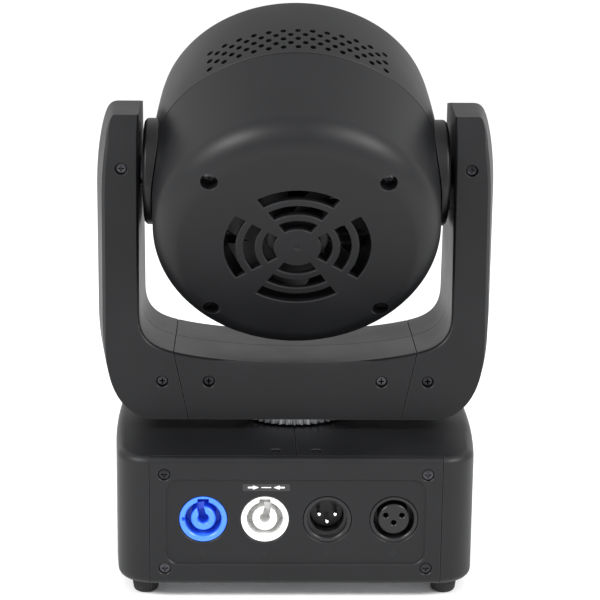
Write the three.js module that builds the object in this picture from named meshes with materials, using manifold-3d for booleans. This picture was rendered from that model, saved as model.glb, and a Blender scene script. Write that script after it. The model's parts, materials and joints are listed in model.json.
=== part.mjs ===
// A small moving head wash light: a mains-fed base, a yoke that pans on it and a
// barrel-shaped lamp head that tilts in the yoke.
//
// Millimetres, +Z up. The origin is on the floor, below the middle of the whole light at
// rest; the pan axis stands at y = PAN_AXIS_Y, and the shapes are drawn about that axis.
// -Y is the front of the base (display and buttons), +Y is its rear (sockets). At rest the
// beam points to -Y, BEAM_ELEVATION above the horizontal.

import * as THREE from 'three';
import { mergeVertices } from 'three/addons/utils/BufferGeometryUtils.js';
import Module from 'manifold-3d';

const wasm = await Module();
wasm.setup();

// ---------------------------------------------------------------- driving dimensions

const PAN_AXIS_Y = -0.375;
const WALL = 2.5;               // moulded shells
const GAP = 0.3;                // between neighbouring pieces
const HALF_GAP = GAP / 2;
const SHEET = 2;                // bent steel

const BASE_WIDTH = 182.6;       // across the middle of its bowed sides
const BASE_SIDE_RADIUS = 601;   // plan radius of the bowed sides
const BASE_DEPTH = 156;
const BASE_BOTTOM = 8;
const BASE_TOP = 74.4;
const BASE_CORNER = 17.3;       // plan radius of the upright corners
const BASE_EDGE = 4;            // rounding of the top and bottom edges
const PANEL_HALF_WIDTH = 71.7;  // seam between a panel and the corner columns
const PANEL_THICKNESS = 3;
const PANEL_SCREW_X = 64.3;
const PANEL_SCREW_Z = [16.8, 65.4];
const RECESS = { halfWidth: 63.5, bottom: 19.2, top: 62.6, corner: 6.5, depth: 1 };

const FOOT_X = 74.5;
const FOOT_Y = 62.8;
const FOOT_RADIUS = 7;

const SOCKET_Z = 42.1;
const SOCKET_RADIUS = 12;       // the standard 24 mm opening of these sockets
const POWER_INLET_X = 45.4;
const POWER_OUTLET_X = 15.2;
const DATA_IN_X = -15.4;
const DATA_OUT_X = -48.1;

const BUTTON_X = [20, 31, 42, 53];
const BUTTON_Z = 44;
const BUTTON_RADIUS = 4;
const DISPLAY = { left: -50, right: 4, bottom: 33, top: 55 };

const YOKE_BOTTOM = 79.9;
const YOKE_TOP = 236.7;
const YOKE_HALF_WIDTH = 100.9;
const YOKE_INNER = 78.3;        // inner face of each arm
const YOKE_FLOOR = 4.7;         // underside of the yoke to its frame
const YOKE_SADDLE = 109.2;      // top of the cross beam at its middle
const YOKE_DEPTH_BOTTOM = 36.8; // half depth at the bottom of the yoke
const YOKE_DEPTH_TOP = 23.4;    // half depth at the top of the arms
const YOKE_SCREWS = [[86.9, 206.5], [66.9, 99.9], [43.5, 99.9]];
const YOKE_CHAMFER_DEPTH = 1.8; // of the bevel round each end face, along Y
// How far the yoke's outline has drawn in where that bevel starts, and the bevel's own
// width, as [height, amount] pairs.
const YOKE_DRAFT = [
  [79.9, 0.3], [84.6, 1.8], [92.4, 2.8], [104, 3.8], [125, 4.2], [218, 4.2], [228, 3.4],
];
const YOKE_CHAMFER = [
  [79.9, 0.4], [108, 0.5], [118, 1.1], [130, 1.6], [218, 1.6], [228, 1], [236.7, 0.3],
];

const TILT_Z = 200.7;
const BEAM_ELEVATION = 28.5;    // degrees above the horizontal at rest
const HEAD_RADIUS = 74.1;       // at the seam of the two head covers
const HEAD_FRONT = 48.6;        // seam to front rim
const HEAD_FRONT_RADIUS = 70.3;
const HEAD_BACK = 58.7;         // seam to flat back face
const HEAD_BACK_RADIUS = 70.9;
const HEAD_BACK_FILLET = 14.5;
const HEAD_SCREW_AT = [42.6, 40.5];
const BOSS_RADIUS = 27;
const BOSS_FACE = 76.5;
const TILT_SHAFT = 7;
const PAN_SHAFT = 12;

const PAN_PULLEY = 28;
const PAN_MOTOR_PULLEY = 7;
const PAN_MOTOR_AT = [-52, -5];
const PAN_BELT_Z = [50, 58];
const TILT_PULLEY = 18;
const TILT_MOTOR_PULLEY = 5.5;
const TILT_MOTOR_Z = 100;
const TILT_BELT_X = [84.5, 88.5];
const BELT_THICKNESS = 1.4;

const GRILLE_RINGS = [[11.6, 17.1], [20.9, 26.4], [30.2, 35.9]];
const GRILLE_HALF_ANGLE = 33.5;
const VENT_PITCH = 7.2;
const VENT_ROWS = [5, 8.6, 12.2, 15.8, 19.4];
const LENS_CIRCLE = 36;
const LENS_RADIUS = 13;

// ------------------------------------------------------------------------- materials

const finish = (color, roughness, metalness = 0) =>
  new THREE.MeshStandardMaterial({ color, roughness, metalness });

const blackPlastic = () => finish(0x2e2f32, 0.55);
const blackGloss = () => finish(0x101114, 0.25);
const rubber = () => finish(0x1d1d1f, 0.85);
const steel = () => finish(0xa9adb2, 0.4, 1);
const chrome = () => finish(0xd8dadd, 0.18, 1);
const aluminium = () => finish(0xb9bcc0, 0.45, 1);
const circuitBoard = () => finish(0x1d5a34, 0.5);
const bluePlastic = () => finish(0x2f6fe0, 0.4);
const whitePlastic = () => finish(0xf0f0ee, 0.4);
const lensPlastic = () => finish(0xdfe8ee, 0.08);

// -------------------------------------------------------------------- shape helpers

const radians = THREE.MathUtils.degToRad;

// A closed geometry as a solid that can be joined and cut.
function solid(geometry) {
  const bare = geometry.clone();
  bare.deleteAttribute('normal');
  bare.deleteAttribute('uv');
  const merged = mergeVertices(bare, 1e-4);
  const corners = merged.index.array;
  const faces = [];
  for (let i = 0; i < corners.length; i += 3) {
    const [a, b, c] = corners.slice(i, i + 3);
    if (a !== b && b !== c && c !== a) faces.push(a, b, c);
  }
  return new wasm.Manifold(new wasm.Mesh({
    numProp: 3,
    vertProperties: new Float32Array(merged.attributes.position.array),
    triVerts: new Uint32Array(faces),
  }));
}

function geometryOf(body) {
  const mesh = body.getMesh();
  const geometry = new THREE.BufferGeometry();
  geometry.setAttribute('position', new THREE.BufferAttribute(mesh.vertProperties, 3));
  geometry.setIndex(new THREE.BufferAttribute(mesh.triVerts, 1));
  return geometry;
}

const join = (first, ...rest) => rest.reduce((sum, next) => sum.add(next), first);
const cut = (first, ...rest) => rest.reduce((left, next) => left.subtract(next), first);

function box(x0, x1, y0, y1, z0, z1) {
  const geometry = new THREE.BoxGeometry(x1 - x0, y1 - y0, z1 - z0);
  return solid(geometry.translate((x0 + x1) / 2, (y0 + y1) / 2, (z0 + z1) / 2));
}

// A cylinder along 'x', 'y' or 'z'; `at` holds the two other coordinates of its axis.
function rod(axis, radius, from, to, at = [0, 0], sides = 16) {
  const geometry = new THREE.CylinderGeometry(radius, radius, to - from, sides);
  const middle = (from + to) / 2;
  if (axis === 'x') return solid(geometry.rotateZ(Math.PI / 2).translate(middle, ...at));
  if (axis === 'y') return solid(geometry.translate(at[0], middle, at[1]));
  return solid(geometry.rotateX(Math.PI / 2).translate(...at, middle));
}

function tube(axis, outer, inner, from, to, at = [0, 0], sides = 20) {
  const bore = rod(axis, inner, from - 1, to + 1, at, sides);
  return cut(rod(axis, outer, from, to, at, sides), bore);
}

// A solid of revolution about Z. The profile of [radius, z] pairs runs outwards along its
// low end, up its outside and back in.
function turned(profile, sides = 32) {
  const points = profile.map(([radius, z]) => new THREE.Vector2(radius, z));
  return solid(new THREE.LatheGeometry(points, sides).rotateX(Math.PI / 2));
}

// A closed skin over rings of equal length, each an [x, y, z] loop that is anticlockwise
// seen from the first ring's side. Its ends are closed by fans.
function skinned(rings) {
  const count = rings[0].length;
  const last = (rings.length - 1) * count;
  const corners = [];
  for (let i = 1; i < count - 1; i += 1) {
    corners.push(0, i, i + 1, last, last + i + 1, last + i);
  }
  for (let start = 0; start < last; start += count) {
    for (let i = 0; i < count; i += 1) {
      const [a, b] = [start + i, start + (i + 1) % count];
      corners.push(a, a + count, b, b, a + count, b + count);
    }
  }
  const geometry = new THREE.BufferGeometry();
  geometry.setAttribute('position', new THREE.Float32BufferAttribute(rings.flat(2), 3));
  return solid(geometry.setIndex(corners));
}

// An outline raised from z0 to z1, its rims rounded inwards by edge.size over edge.depth.
function slab(outline, z0, z1, edge = null, curveSegments = 4) {
  const depth = edge ? edge.depth : 0;
  const geometry = new THREE.ExtrudeGeometry(outline, {
    depth: z1 - z0 - 2 * depth,
    curveSegments,
    bevelEnabled: edge !== null,
    bevelSize: edge ? edge.size : 0,
    bevelOffset: edge ? -edge.size : 0,
    bevelThickness: depth,
    bevelSegments: 2,
  });
  return geometry.translate(0, 0, z0 + depth);
}

// The same for an outline drawn in (x, z), reaching from y0 to y1.
const wallSlab = (outline, y0, y1, edge = null, curveSegments = 4) =>
  solid(slab(outline, -y1, -y0, edge, curveSegments).rotateX(Math.PI / 2));

// The same for an outline drawn in (y, z), reaching from x0 to x1.
const sideSlab = (outline, x0, x1) =>
  solid(slab(outline, x0, x1).rotateX(Math.PI / 2).rotateZ(Math.PI / 2));

function roundedRectangle(x0, x1, y0, y1, radius) {
  const quarter = Math.PI / 2;
  const shape = new THREE.Shape();
  shape.absarc(x1 - radius, y0 + radius, radius, -quarter, 0);
  shape.absarc(x1 - radius, y1 - radius, radius, 0, quarter);
  shape.absarc(x0 + radius, y1 - radius, radius, quarter, 2 * quarter);
  shape.absarc(x0 + radius, y0 + radius, radius, 2 * quarter, 3 * quarter);
  shape.closePath();
  return shape;
}

function polygon(points) {
  return new THREE.Shape(points.map(([x, y]) => new THREE.Vector2(x, y)));
}

// The loop that a belt makes round a big pulley at the origin and a small one at (0, -reach).
function beltLoop(big, small, reach) {
  const lean = Math.asin((big - small) / reach);
  const shape = new THREE.Shape();
  shape.absarc(0, 0, big, -lean, Math.PI + lean);
  shape.absarc(0, -reach, small, Math.PI + lean, 2 * Math.PI - lean);
  shape.closePath();
  return shape;
}

function belt(big, small, reach, width) {
  const slack = GAP + BELT_THICKNESS;
  const outer = slab(beltLoop(big + slack, small + slack, reach), 0, width, null, 8);
  const inner = slab(beltLoop(big + GAP, small + GAP, reach), -1, width + 1, null, 8);
  return geometryOf(cut(solid(outer), solid(inner)));
}

function piece(name, shape, material, parent) {
  const geometry = shape.isBufferGeometry ? shape : geometryOf(shape);
  const mesh = new THREE.Mesh(geometry, material);
  mesh.name = name;
  parent.add(mesh);
  return mesh;
}

// A cross-head screw along +Y: its head's face at y = 0, its shank towards -Y.
function screw() {
  const headRadius = 2.7;
  const headHeight = 1.7;
  const shankRadius = 1.4;
  const length = 9;
  const crossWidth = 0.4;
  const crossReach = 1.6;
  const crossDepth = 1;
  const body = join(
    rod('y', headRadius, -headHeight, 0, [0, 0], 12),
    rod('y', shankRadius, -length, -headHeight, [0, 0], 6),
  );
  return cut(
    body,
    box(-crossReach, crossReach, -crossDepth, 1, -crossWidth, crossWidth),
    box(-crossWidth, crossWidth, -crossDepth, 1, -crossReach, crossReach),
  );
}

// ------------------------------------------------------------------------------ base

const PANEL_Y = BASE_DEPTH / 2;
const PANEL_BACK = PANEL_Y - PANEL_THICKNESS;
const SIDES = [['left', -1], ['right', 1]];
const ENDS = [['front', -1], ['rear', 1]];

// The base in plan: straight ends, bowed sides and rounded corners.
function basePlan(inset) {
  const side = BASE_SIDE_RADIUS - inset;
  const corner = BASE_CORNER - inset;
  const sideCentre = BASE_WIDTH / 2 - BASE_SIDE_RADIUS;
  const cornerY = BASE_DEPTH / 2 - BASE_CORNER;
  const turn = Math.asin(cornerY / (BASE_SIDE_RADIUS - BASE_CORNER));
  const cornerX = sideCentre + (BASE_SIDE_RADIUS - BASE_CORNER) * Math.cos(turn);
  const half = Math.PI / 2;
  const shape = new THREE.Shape();
  shape.absarc(sideCentre, 0, side, -turn, turn);
  shape.absarc(cornerX, cornerY, corner, turn, half);
  shape.absarc(-cornerX, cornerY, corner, half, 2 * half - turn);
  shape.absarc(-sideCentre, 0, side, 2 * half - turn, 2 * half + turn);
  shape.absarc(-cornerX, -cornerY, corner, 2 * half + turn, 3 * half);
  shape.absarc(cornerX, -cornerY, corner, -half, -turn);
  shape.closePath();
  return shape;
}

function baseHull() {
  const edge = (size) => ({ size, depth: size });
  const lip = 8;
  const outer = solid(slab(basePlan(0), BASE_BOTTOM, BASE_TOP, edge(BASE_EDGE)));
  const hollow = slab(basePlan(WALL), BASE_BOTTOM + WALL, BASE_TOP - WALL, edge(BASE_EDGE - 1));
  const opening = slab(basePlan(lip), BASE_BOTTOM - 1, BASE_BOTTOM + 2 * WALL);
  const shaftHole = rod('z', PAN_SHAFT + WALL, BASE_TOP - 2 * WALL, BASE_TOP + 1);
  return cut(outer, solid(hollow), solid(opening), shaftHole);
}

// The posts behind a panel that its screws bite into.
function panelPosts(side) {
  const outer = side * (PANEL_HALF_WIDTH + 3);
  const inner = side * (PANEL_SCREW_X - 5);
  const [x0, x1] = [Math.min(outer, inner), Math.max(outer, inner)];
  const depth = 8;
  const heights = [[BASE_BOTTOM + 5.3, 22], [60, BASE_TOP - 1.5]];
  const posts = [];
  for (const [, end] of ENDS) {
    for (const [z0, z1] of heights) {
      const [y0, y1] = [end * (PANEL_BACK - depth), end * (PANEL_BACK + WALL / 2)];
      posts.push(box(x0, x1, Math.min(y0, y1), Math.max(y0, y1), z0, z1));
    }
  }
  return posts;
}

function baseShell(side) {
  const far = BASE_WIDTH;
  const half = side > 0 ? box(HALF_GAP, far, -far, far, 0, far) : box(-far, -HALF_GAP, -far, far, 0, far);
  let body = join(baseHull().intersect(half), ...panelPosts(side));
  for (const [, end] of ENDS) {
    const [y0, y1] = end > 0 ? [PANEL_BACK - GAP, far] : [-far, -PANEL_BACK + GAP];
    const panelGap = box(-PANEL_HALF_WIDTH, PANEL_HALF_WIDTH, y0, y1, 0, far);
    const screwHoles = PANEL_SCREW_Z.map((z) => (
      rod('y', 1.7, -PANEL_Y, PANEL_Y, [side * PANEL_SCREW_X, z], 6)
    ));
    body = cut(body, panelGap, ...screwHoles);
  }
  const topScrewRecess = rod('z', 2.6, BASE_TOP - 1.2, BASE_TOP + 1, [side * 10, 67], 12);
  return cut(body, topScrewRecess);
}

// A panel with its rounded upper and lower outer edges, its shallow recess and screw
// seats, on the +Y side.
function panelBlank() {
  const halfWidth = PANEL_HALF_WIDTH - GAP;
  const round = 3;
  const bottom = BASE_BOTTOM + GAP;
  const outline = new THREE.Shape();
  outline.moveTo(PANEL_BACK, bottom);
  outline.lineTo(PANEL_Y - round, bottom);
  outline.absarc(PANEL_Y - round, bottom + round, round, -Math.PI / 2, 0);
  outline.absarc(PANEL_Y - round, BASE_TOP - GAP - round, round, 0, Math.PI / 2);
  outline.lineTo(PANEL_BACK, BASE_TOP - GAP);
  outline.closePath();
  const { halfWidth: reach, bottom: low, top: high, corner, depth } = RECESS;
  const recess = roundedRectangle(-reach, reach, low, high, corner);
  let body = cut(
    sideSlab(outline, -halfWidth, halfWidth),
    wallSlab(recess, PANEL_Y - depth, PANEL_Y + 1),
  );
  for (const x of [-PANEL_SCREW_X, PANEL_SCREW_X]) {
    for (const z of PANEL_SCREW_Z) {
      const seat = rod('y', 3, PANEL_Y - 1.9, PANEL_Y + 1, [x, z], 10);
      body = cut(body, seat, rod('y', 1.7, PANEL_BACK - 1, PANEL_Y, [x, z], 6));
    }
  }
  return body;
}

function rearPanel() {
  const holes = [POWER_INLET_X, POWER_OUTLET_X, DATA_IN_X, DATA_OUT_X].map((x) => (
    rod('y', SOCKET_RADIUS, PANEL_BACK - 1, PANEL_Y + 1, [x, SOCKET_Z], 20)
  ));
  return cut(panelBlank(), ...holes);
}

// The front panel is the same moulding turned round, with a window and button holes.
function frontPanel() {
  const { left, right, bottom, top } = DISPLAY;
  const window = wallSlab(
    roundedRectangle(-right, -left, bottom, top, 2), PANEL_BACK - 1, PANEL_Y + 1,
  );
  const holes = BUTTON_X.map((x) => (
    rod('y', BUTTON_RADIUS + 0.5, PANEL_BACK - 1, PANEL_Y + 1, [-x, BUTTON_Z], 14)
  ));
  return geometryOf(cut(panelBlank(), window, ...holes)).rotateZ(Math.PI);
}

function foot() {
  const neck = 5;
  const shoulder = BASE_BOTTOM - GAP;
  const top = BASE_BOTTOM + WALL;
  return turned([
    [0, 0], [4.8, 0], [FOOT_RADIUS - 1, 1], [FOOT_RADIUS, shoulder],
    [neck, shoulder], [neck, top], [0, top],
  ], 16);
}

const PLATE_Z = BASE_BOTTOM + WALL + GAP;
const FLOOR_Z = PLATE_Z + SHEET + GAP;

function addHousing() {
  for (const [name, side] of SIDES) {
    piece(`base_shell_${name}`, baseShell(side), blackPlastic(), base);
  }
  piece('rear_panel', rearPanel(), blackPlastic(), base);
  piece('front_panel', frontPanel(), blackPlastic(), base);
  const plate = slab(basePlan(WALL + 3.2), PLATE_Z, PLATE_Z + SHEET);
  piece('base_plate', plate, steel(), base);
  for (const [end, y] of ENDS) {
    for (const [name, x] of SIDES) {
      const mesh = piece(`foot_${end}_${name}`, foot(), rubber(), base);
      mesh.position.set(x * FOOT_X, y * FOOT_Y, 0);
    }
  }
  let number = 0;
  for (const x of [PANEL_SCREW_X, -PANEL_SCREW_X]) {
    for (const z of PANEL_SCREW_Z) {
      number += 1;
      const mesh = piece(`rear_panel_screw_${number}`, screw(), blackGloss(), base);
      mesh.position.set(x, PANEL_Y + GAP - 0.5, z);
    }
  }
}

// --------------------------------------------------------------------------- sockets

const SOCKET_FACE = PANEL_Y - RECESS.depth;
const SOCKET_END = 50;
const SOCKET_BARREL = SOCKET_RADIUS - GAP;

// The flange behind the panel and the barrel that fills the panel's hole, at x = z = 0.
function socketBlank() {
  const flange = wallSlab(roundedRectangle(-13, 13, -15, 15, 2), 71.5, PANEL_BACK - GAP);
  return join(rod('y', SOCKET_BARREL, SOCKET_END, SOCKET_FACE, [0, 0], 20), flange);
}

// A locking mains socket: a deep ring with key slots, round a core split like a C.
// Its side key and the mouth of the core lean towards `side`.
function powerSocket(side) {
  const cavity = 9;
  const floor = 63;
  const coreRadius = 6;
  const lean = radians(14) * side;
  const ring = cut(
    socketBlank(),
    rod('y', cavity, floor, PANEL_Y, [0, 0], 20),
    box(-2.8, 2.8, floor, PANEL_Y, 7, 10.4),
    box(side > 0 ? 7 : -10.4, side > 0 ? 10.4 : -7, floor, PANEL_Y, -0.8, 0.8),
  );
  const mouth = new THREE.BoxGeometry(3.6, 14, 8).translate(0, 75, 4.6).rotateY(lean);
  const core = cut(
    rod('y', coreRadius, floor - 1, SOCKET_FACE - 1),
    rod('y', 2.7, floor + 2, PANEL_Y, [0, 0], 10),
    solid(mouth),
  );
  return join(ring, core);
}

const PIN_SPOTS = [[-3.95, 1.9], [3.95, 1.9], [0, -1.9]];

function dataInSocket() {
  return cut(socketBlank(), rod('y', 9.8, 62, PANEL_Y, [0, 0], 20));
}

function dataInPins() {
  const insert = rod('y', 9.5, 62 + GAP, 65, [0, 0], 24);
  return join(insert, ...PIN_SPOTS.map((spot) => rod('y', 1.2, 64, 75.5, spot, 8)));
}

function dataOutSocket() {
  const core = 7.6;
  return cut(
    socketBlank(),
    tube('y', 9.8, core, 64, PANEL_Y, [0, 0], 20),
    rod('y', core + 1, SOCKET_FACE - 0.6, PANEL_Y, [0, 0], 20),
    ...PIN_SPOTS.map((spot) => rod('y', 1.7, 66, PANEL_Y, spot, 8)),
  );
}

function addSockets() {
  const place = (name, body, material, x) => {
    piece(name, body, material, base).position.set(x, 0, SOCKET_Z);
  };
  place('power_inlet', powerSocket(1), bluePlastic(), POWER_INLET_X);
  place('power_outlet', powerSocket(-1), whitePlastic(), POWER_OUTLET_X);
  place('data_in_socket', dataInSocket(), blackPlastic(), DATA_IN_X);
  place('data_in_pins', dataInPins(), chrome(), DATA_IN_X);
  place('data_out_socket', dataOutSocket(), blackPlastic(), DATA_OUT_X);
}

// -------------------------------------------------------------- controls on the front

const BUTTON_NAMES = ['menu', 'down', 'up', 'enter'];

// A cap that stands out of the front panel, a collar behind the panel and a stem that
// presses the switch on the control board.
function button() {
  const proud = 1.5;
  return join(
    rod('y', BUTTON_RADIUS, -PANEL_Y - proud, -PANEL_BACK + 0.6, [0, 0], 14),
    rod('y', BUTTON_RADIUS + 1.6, -PANEL_BACK + GAP, -PANEL_BACK + 1.4, [0, 0], 14),
    rod('y', 1.6, -PANEL_BACK + 1, -67.6, [0, 0], 8),
  );
}

function addControls() {
  BUTTON_NAMES.forEach((name, index) => {
    const mesh = piece(`button_${name}`, button(), rubber(), base);
    mesh.position.set(BUTTON_X[index], 0, BUTTON_Z);
  });
  const { left, right, bottom, top } = DISPLAY;
  const glass = wallSlab(
    roundedRectangle(left + GAP, right - GAP, bottom + GAP, top - GAP, 2),
    -PANEL_Y + 0.6, -PANEL_BACK + 1,
  );
  const module = box(left - 2, right + 2, -PANEL_BACK + GAP, -70, bottom - 2, top + 2);
  piece('display', join(glass, module), blackGloss(), base);
  piece('control_board', box(-56, 60, -66, -64.4, 25, 62), circuitBoard(), base);
}

// ----------------------------------------------------------------- inside of the base

function powerSupply() {
  const board = box(27, 77, -48, 36, FLOOR_Z, FLOOR_Z + 2);
  const transformer = box(34, 60, -20, 8, FLOOR_Z + 1, 42);
  const heatSink = box(69, 73, -44, 20, FLOOR_Z + 1, 38);
  const capacitors = [-36, 22].map((y) => rod('z', 8, FLOOR_Z + 1, 40, [45, y], 16));
  return join(board, transformer, heatSink, ...capacitors);
}

function panMotor() {
  const half = 21.1;
  const [x, y] = PAN_MOTOR_AT;
  const body = roundedRectangle(x - half, x + half, y - half, y + half, 5);
  return join(solid(slab(body, FLOOR_Z, 44)), rod('z', 11, 43, 45.6, PAN_MOTOR_AT));
}

// A bridge of bent sheet that holds the pan bearing under the roof of the base.
function panBridge() {
  const reach = 40;
  const roof = 67;
  const flange = 9;
  const outline = polygon([
    [-reach - flange, FLOOR_Z], [-reach + SHEET, FLOOR_Z], [-reach + SHEET, roof - SHEET],
    [reach - SHEET, roof - SHEET], [reach - SHEET, FLOOR_Z], [reach + flange, FLOOR_Z],
    [reach + flange, FLOOR_Z + SHEET], [reach, FLOOR_Z + SHEET], [reach, roof],
    [-reach, roof], [-reach, FLOOR_Z + SHEET], [-reach - flange, FLOOR_Z + SHEET],
  ]);
  return cut(sideSlab(outline, -20, 20), rod('z', 17.3, 60, 70, [0, 0], 24));
}

function addPanDrive() {
  const [low, high] = PAN_BELT_Z;
  piece('pan_motor', panMotor(), steel(), base);
  piece('pan_bridge', panBridge(), steel(), base);
  piece('pan_bearing', tube('z', 17, PAN_SHAFT + GAP, 60.3, 66.7, [0, 0], 24), chrome(), base);
  const motorPulley = join(
    rod('z', 2.5, 46, high, PAN_MOTOR_AT, 12),
    rod('z', PAN_MOTOR_PULLEY, low, high, PAN_MOTOR_AT),
  );
  piece('pan_motor_pulley', motorPulley, aluminium(), base);
  const reach = Math.hypot(...PAN_MOTOR_AT);
  const loop = belt(PAN_PULLEY, PAN_MOTOR_PULLEY, reach, high - low - 1);
  const heading = Math.atan2(PAN_MOTOR_AT[1], PAN_MOTOR_AT[0]) + Math.PI / 2;
  piece('pan_belt', loop.rotateZ(heading).translate(0, 0, low + 0.5), rubber(), base);
}

// ------------------------------------------------------------------------------ yoke

// The amount at a height, from [height, amount] pairs.
function amountAt(pairs, z) {
  const next = pairs.findIndex(([height]) => height >= z);
  if (next < 0) return pairs[pairs.length - 1][1];
  if (next === 0) return pairs[0][1];
  const [[low, from], [high, to]] = [pairs[next - 1], pairs[next]];
  return from + (to - from) * (z - low) / (high - low);
}

// Half depth of the yoke at a height: the arms grow thinner towards their tops.
const yokeDepth = (z) => YOKE_DEPTH_BOTTOM
  + (YOKE_DEPTH_TOP - YOKE_DEPTH_BOTTOM) * (z - YOKE_BOTTOM) / (YOKE_TOP - YOKE_BOTTOM);

// The yoke's front elevation at its middle plane, without the channel between its arms:
// an anticlockwise loop of (x, z) points, each side moved in by inset.
function yokeOutline(inset) {
  const bottom = YOKE_BOTTOM + inset;
  const top = YOKE_TOP - inset;
  const half = YOKE_HALF_WIDTH - inset;
  const side = new THREE.Path();
  side.moveTo(40, bottom);
  side.lineTo(half - 31, bottom);
  side.bezierCurveTo(half - 11, bottom, half, bottom + 16, half, bottom + 50);
  side.lineTo(half, top - 45);
  side.bezierCurveTo(half, top - 27, half - 2.3, top - 14, half - 4.5, top - 7);
  side.bezierCurveTo(half - 5.7, top - 3.3, half - 7.1, top, half - 11.4, top);
  side.lineTo(half - 31, top);
  const right = side.getPoints(6);
  const left = right.map((p) => new THREE.Vector2(-p.x, p.y)).reverse();
  return [...right, ...left];
}

// The outline drawn in by an amount that depends on the height.
function drawnIn(outline, amountFor) {
  return outline.map((point, i) => {
    const before = outline.at(i - 1);
    const after = outline[(i + 1) % outline.length];
    const along = after.clone().sub(before).normalize();
    const inwards = new THREE.Vector2(-along.y, along.x);
    return point.clone().addScaledVector(inwards, amountFor(point.y));
  });
}

// The channel between the arms, widened all round by grow.
function channelOutline(grow) {
  const half = YOKE_INNER + grow;
  const above = YOKE_TOP + 20;
  const shape = new THREE.Shape();
  shape.moveTo(-half, above);
  shape.lineTo(-half, 134);
  shape.bezierCurveTo(-half, 120 - grow, -70 - grow, 116.5 - grow, -58, 114 - grow);
  shape.quadraticCurveTo(-35, YOKE_SADDLE - grow, 0, YOKE_SADDLE - grow);
  shape.quadraticCurveTo(35, YOKE_SADDLE - grow, 58, 114 - grow);
  shape.bezierCurveTo(70 + grow, 116.5 - grow, half, 120 - grow, half, 134);
  shape.lineTo(half, above);
  shape.closePath();
  return shape;
}

// A shallow crescent cut along the cross beam's upper front and rear edges: a cone about a
// level axis far above the beam. It starts `setback` inside the end face, at the saddle,
// and falls by `drop` where it leaves that face.
function crescent(end) {
  const rimRadius = 170;
  const drop = 5;
  const setback = 2.4;
  const depth = 14;
  const endFace = YOKE_DEPTH_BOTTOM - 2.4;
  const slope = drop / setback;
  const cone = new THREE.CylinderGeometry(
    rimRadius - drop + slope * depth, rimRadius - drop, depth, 128,
  );
  cone.translate(0, depth / 2, 0);
  if (end < 0) cone.rotateX(Math.PI);
  return solid(cone.translate(0, end * (endFace - setback), YOKE_SADDLE - drop + rimRadius));
}

// The yoke with its channel: a skin over outlines at seven depths. Its skin is drawn in
// by `inset` all round for the hollow inside it.
function yokeSolid(inset) {
  const outline = yokeOutline(inset);
  const draft = (z) => amountAt(YOKE_DRAFT, z);
  const face = (z) => draft(z) + amountAt(YOKE_CHAMFER, z);
  const rings = [];
  for (const end of [-1, 1]) {
    const levels = [[0, face], [YOKE_CHAMFER_DEPTH, draft]];
    for (const [setback, amount] of end < 0 ? levels : levels.reverse()) {
      rings.push(drawnIn(outline, amount).map((p) => (
        [p.x, end * (yokeDepth(p.y) - inset - setback), p.y]
      )));
    }
  }
  rings.splice(2, 0, outline.map((p) => [p.x, 0, p.y]));
  const reach = YOKE_DEPTH_BOTTOM + 10;
  const channel = wallSlab(channelOutline(inset), -reach, reach, null, 7);
  return cut(skinned(rings), channel, ...leaningFaces(inset));
}

// What lies beyond the steeper upper part of the arms' front and rear faces.
function leaningFaces(inset) {
  const bend = 220.5;
  const lean = 0.135;
  const depthAt = (z) => yokeDepth(bend) - inset - lean * (z - bend);
  const [low, high] = [bend - 20, YOKE_TOP + 10];
  return [-1, 1].map((end) => {
    const outline = [[depthAt(low), low], [60, low], [60, high], [depthAt(high), high]];
    const mirrored = outline.map(([y, z]) => [end * y, z]);
    return sideSlab(polygon(mirrored), -YOKE_HALF_WIDTH - 5, YOKE_HALF_WIDTH + 5);
  });
}

// The slanting seams between the centre covers and the arm covers.
function centreRegion(grow) {
  const halfWidthAt = (z) => 53.5 + 0.221 * (z - YOKE_BOTTOM) + grow;
  const [low, high] = [YOKE_BOTTOM - 10, YOKE_BOTTOM + 50];
  const outline = polygon([
    [-halfWidthAt(low), low], [halfWidthAt(low), low],
    [halfWidthAt(high), high], [-halfWidthAt(high), high],
  ]);
  return wallSlab(outline, -60, 60);
}

function addYokeCovers() {
  const far = 300;
  const hollow = yokeSolid(WALL);
  const shell = cut(yokeSolid(0), hollow, crescent(-1), crescent(1));
  const shaftHole = rod('x', TILT_SHAFT + 1.5, -YOKE_INNER - 4, YOKE_INNER + 4, [0, TILT_Z]);
  const panHole = rod('z', PAN_SHAFT + WALL, YOKE_BOTTOM - 1, YOKE_BOTTOM + 2 * WALL);
  const screwSeats = YOKE_SCREWS.flatMap(([x, z]) => [-x, x].flatMap((place) => {
    const floor = yokeDepth(z) - 1.2;
    return [rod('y', 3, floor, 60, [place, z], 12), rod('y', 3, -60, -floor, [place, z], 12)];
  }));
  const drilled = cut(shell, shaftHole, panHole, ...screwSeats);
  for (const [end, way] of ENDS) {
    const [y0, y1] = way > 0 ? [HALF_GAP, far] : [-far, -HALF_GAP];
    const half = drilled.intersect(box(-far, far, y0, y1, 0, far));
    const centre = half.intersect(centreRegion(-HALF_GAP));
    piece(`yoke_centre_cover_${end}`, centre, blackPlastic(), yoke);
    const arms = cut(half, centreRegion(HALF_GAP));
    for (const [name, side] of SIDES) {
      const [x0, x1] = side > 0 ? [0, far] : [-far, 0];
      const arm = arms.intersect(box(x0, x1, -far, far, 0, far));
      piece(`arm_cover_${name}_${end}`, arm, blackPlastic(), yoke);
    }
  }
}

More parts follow.
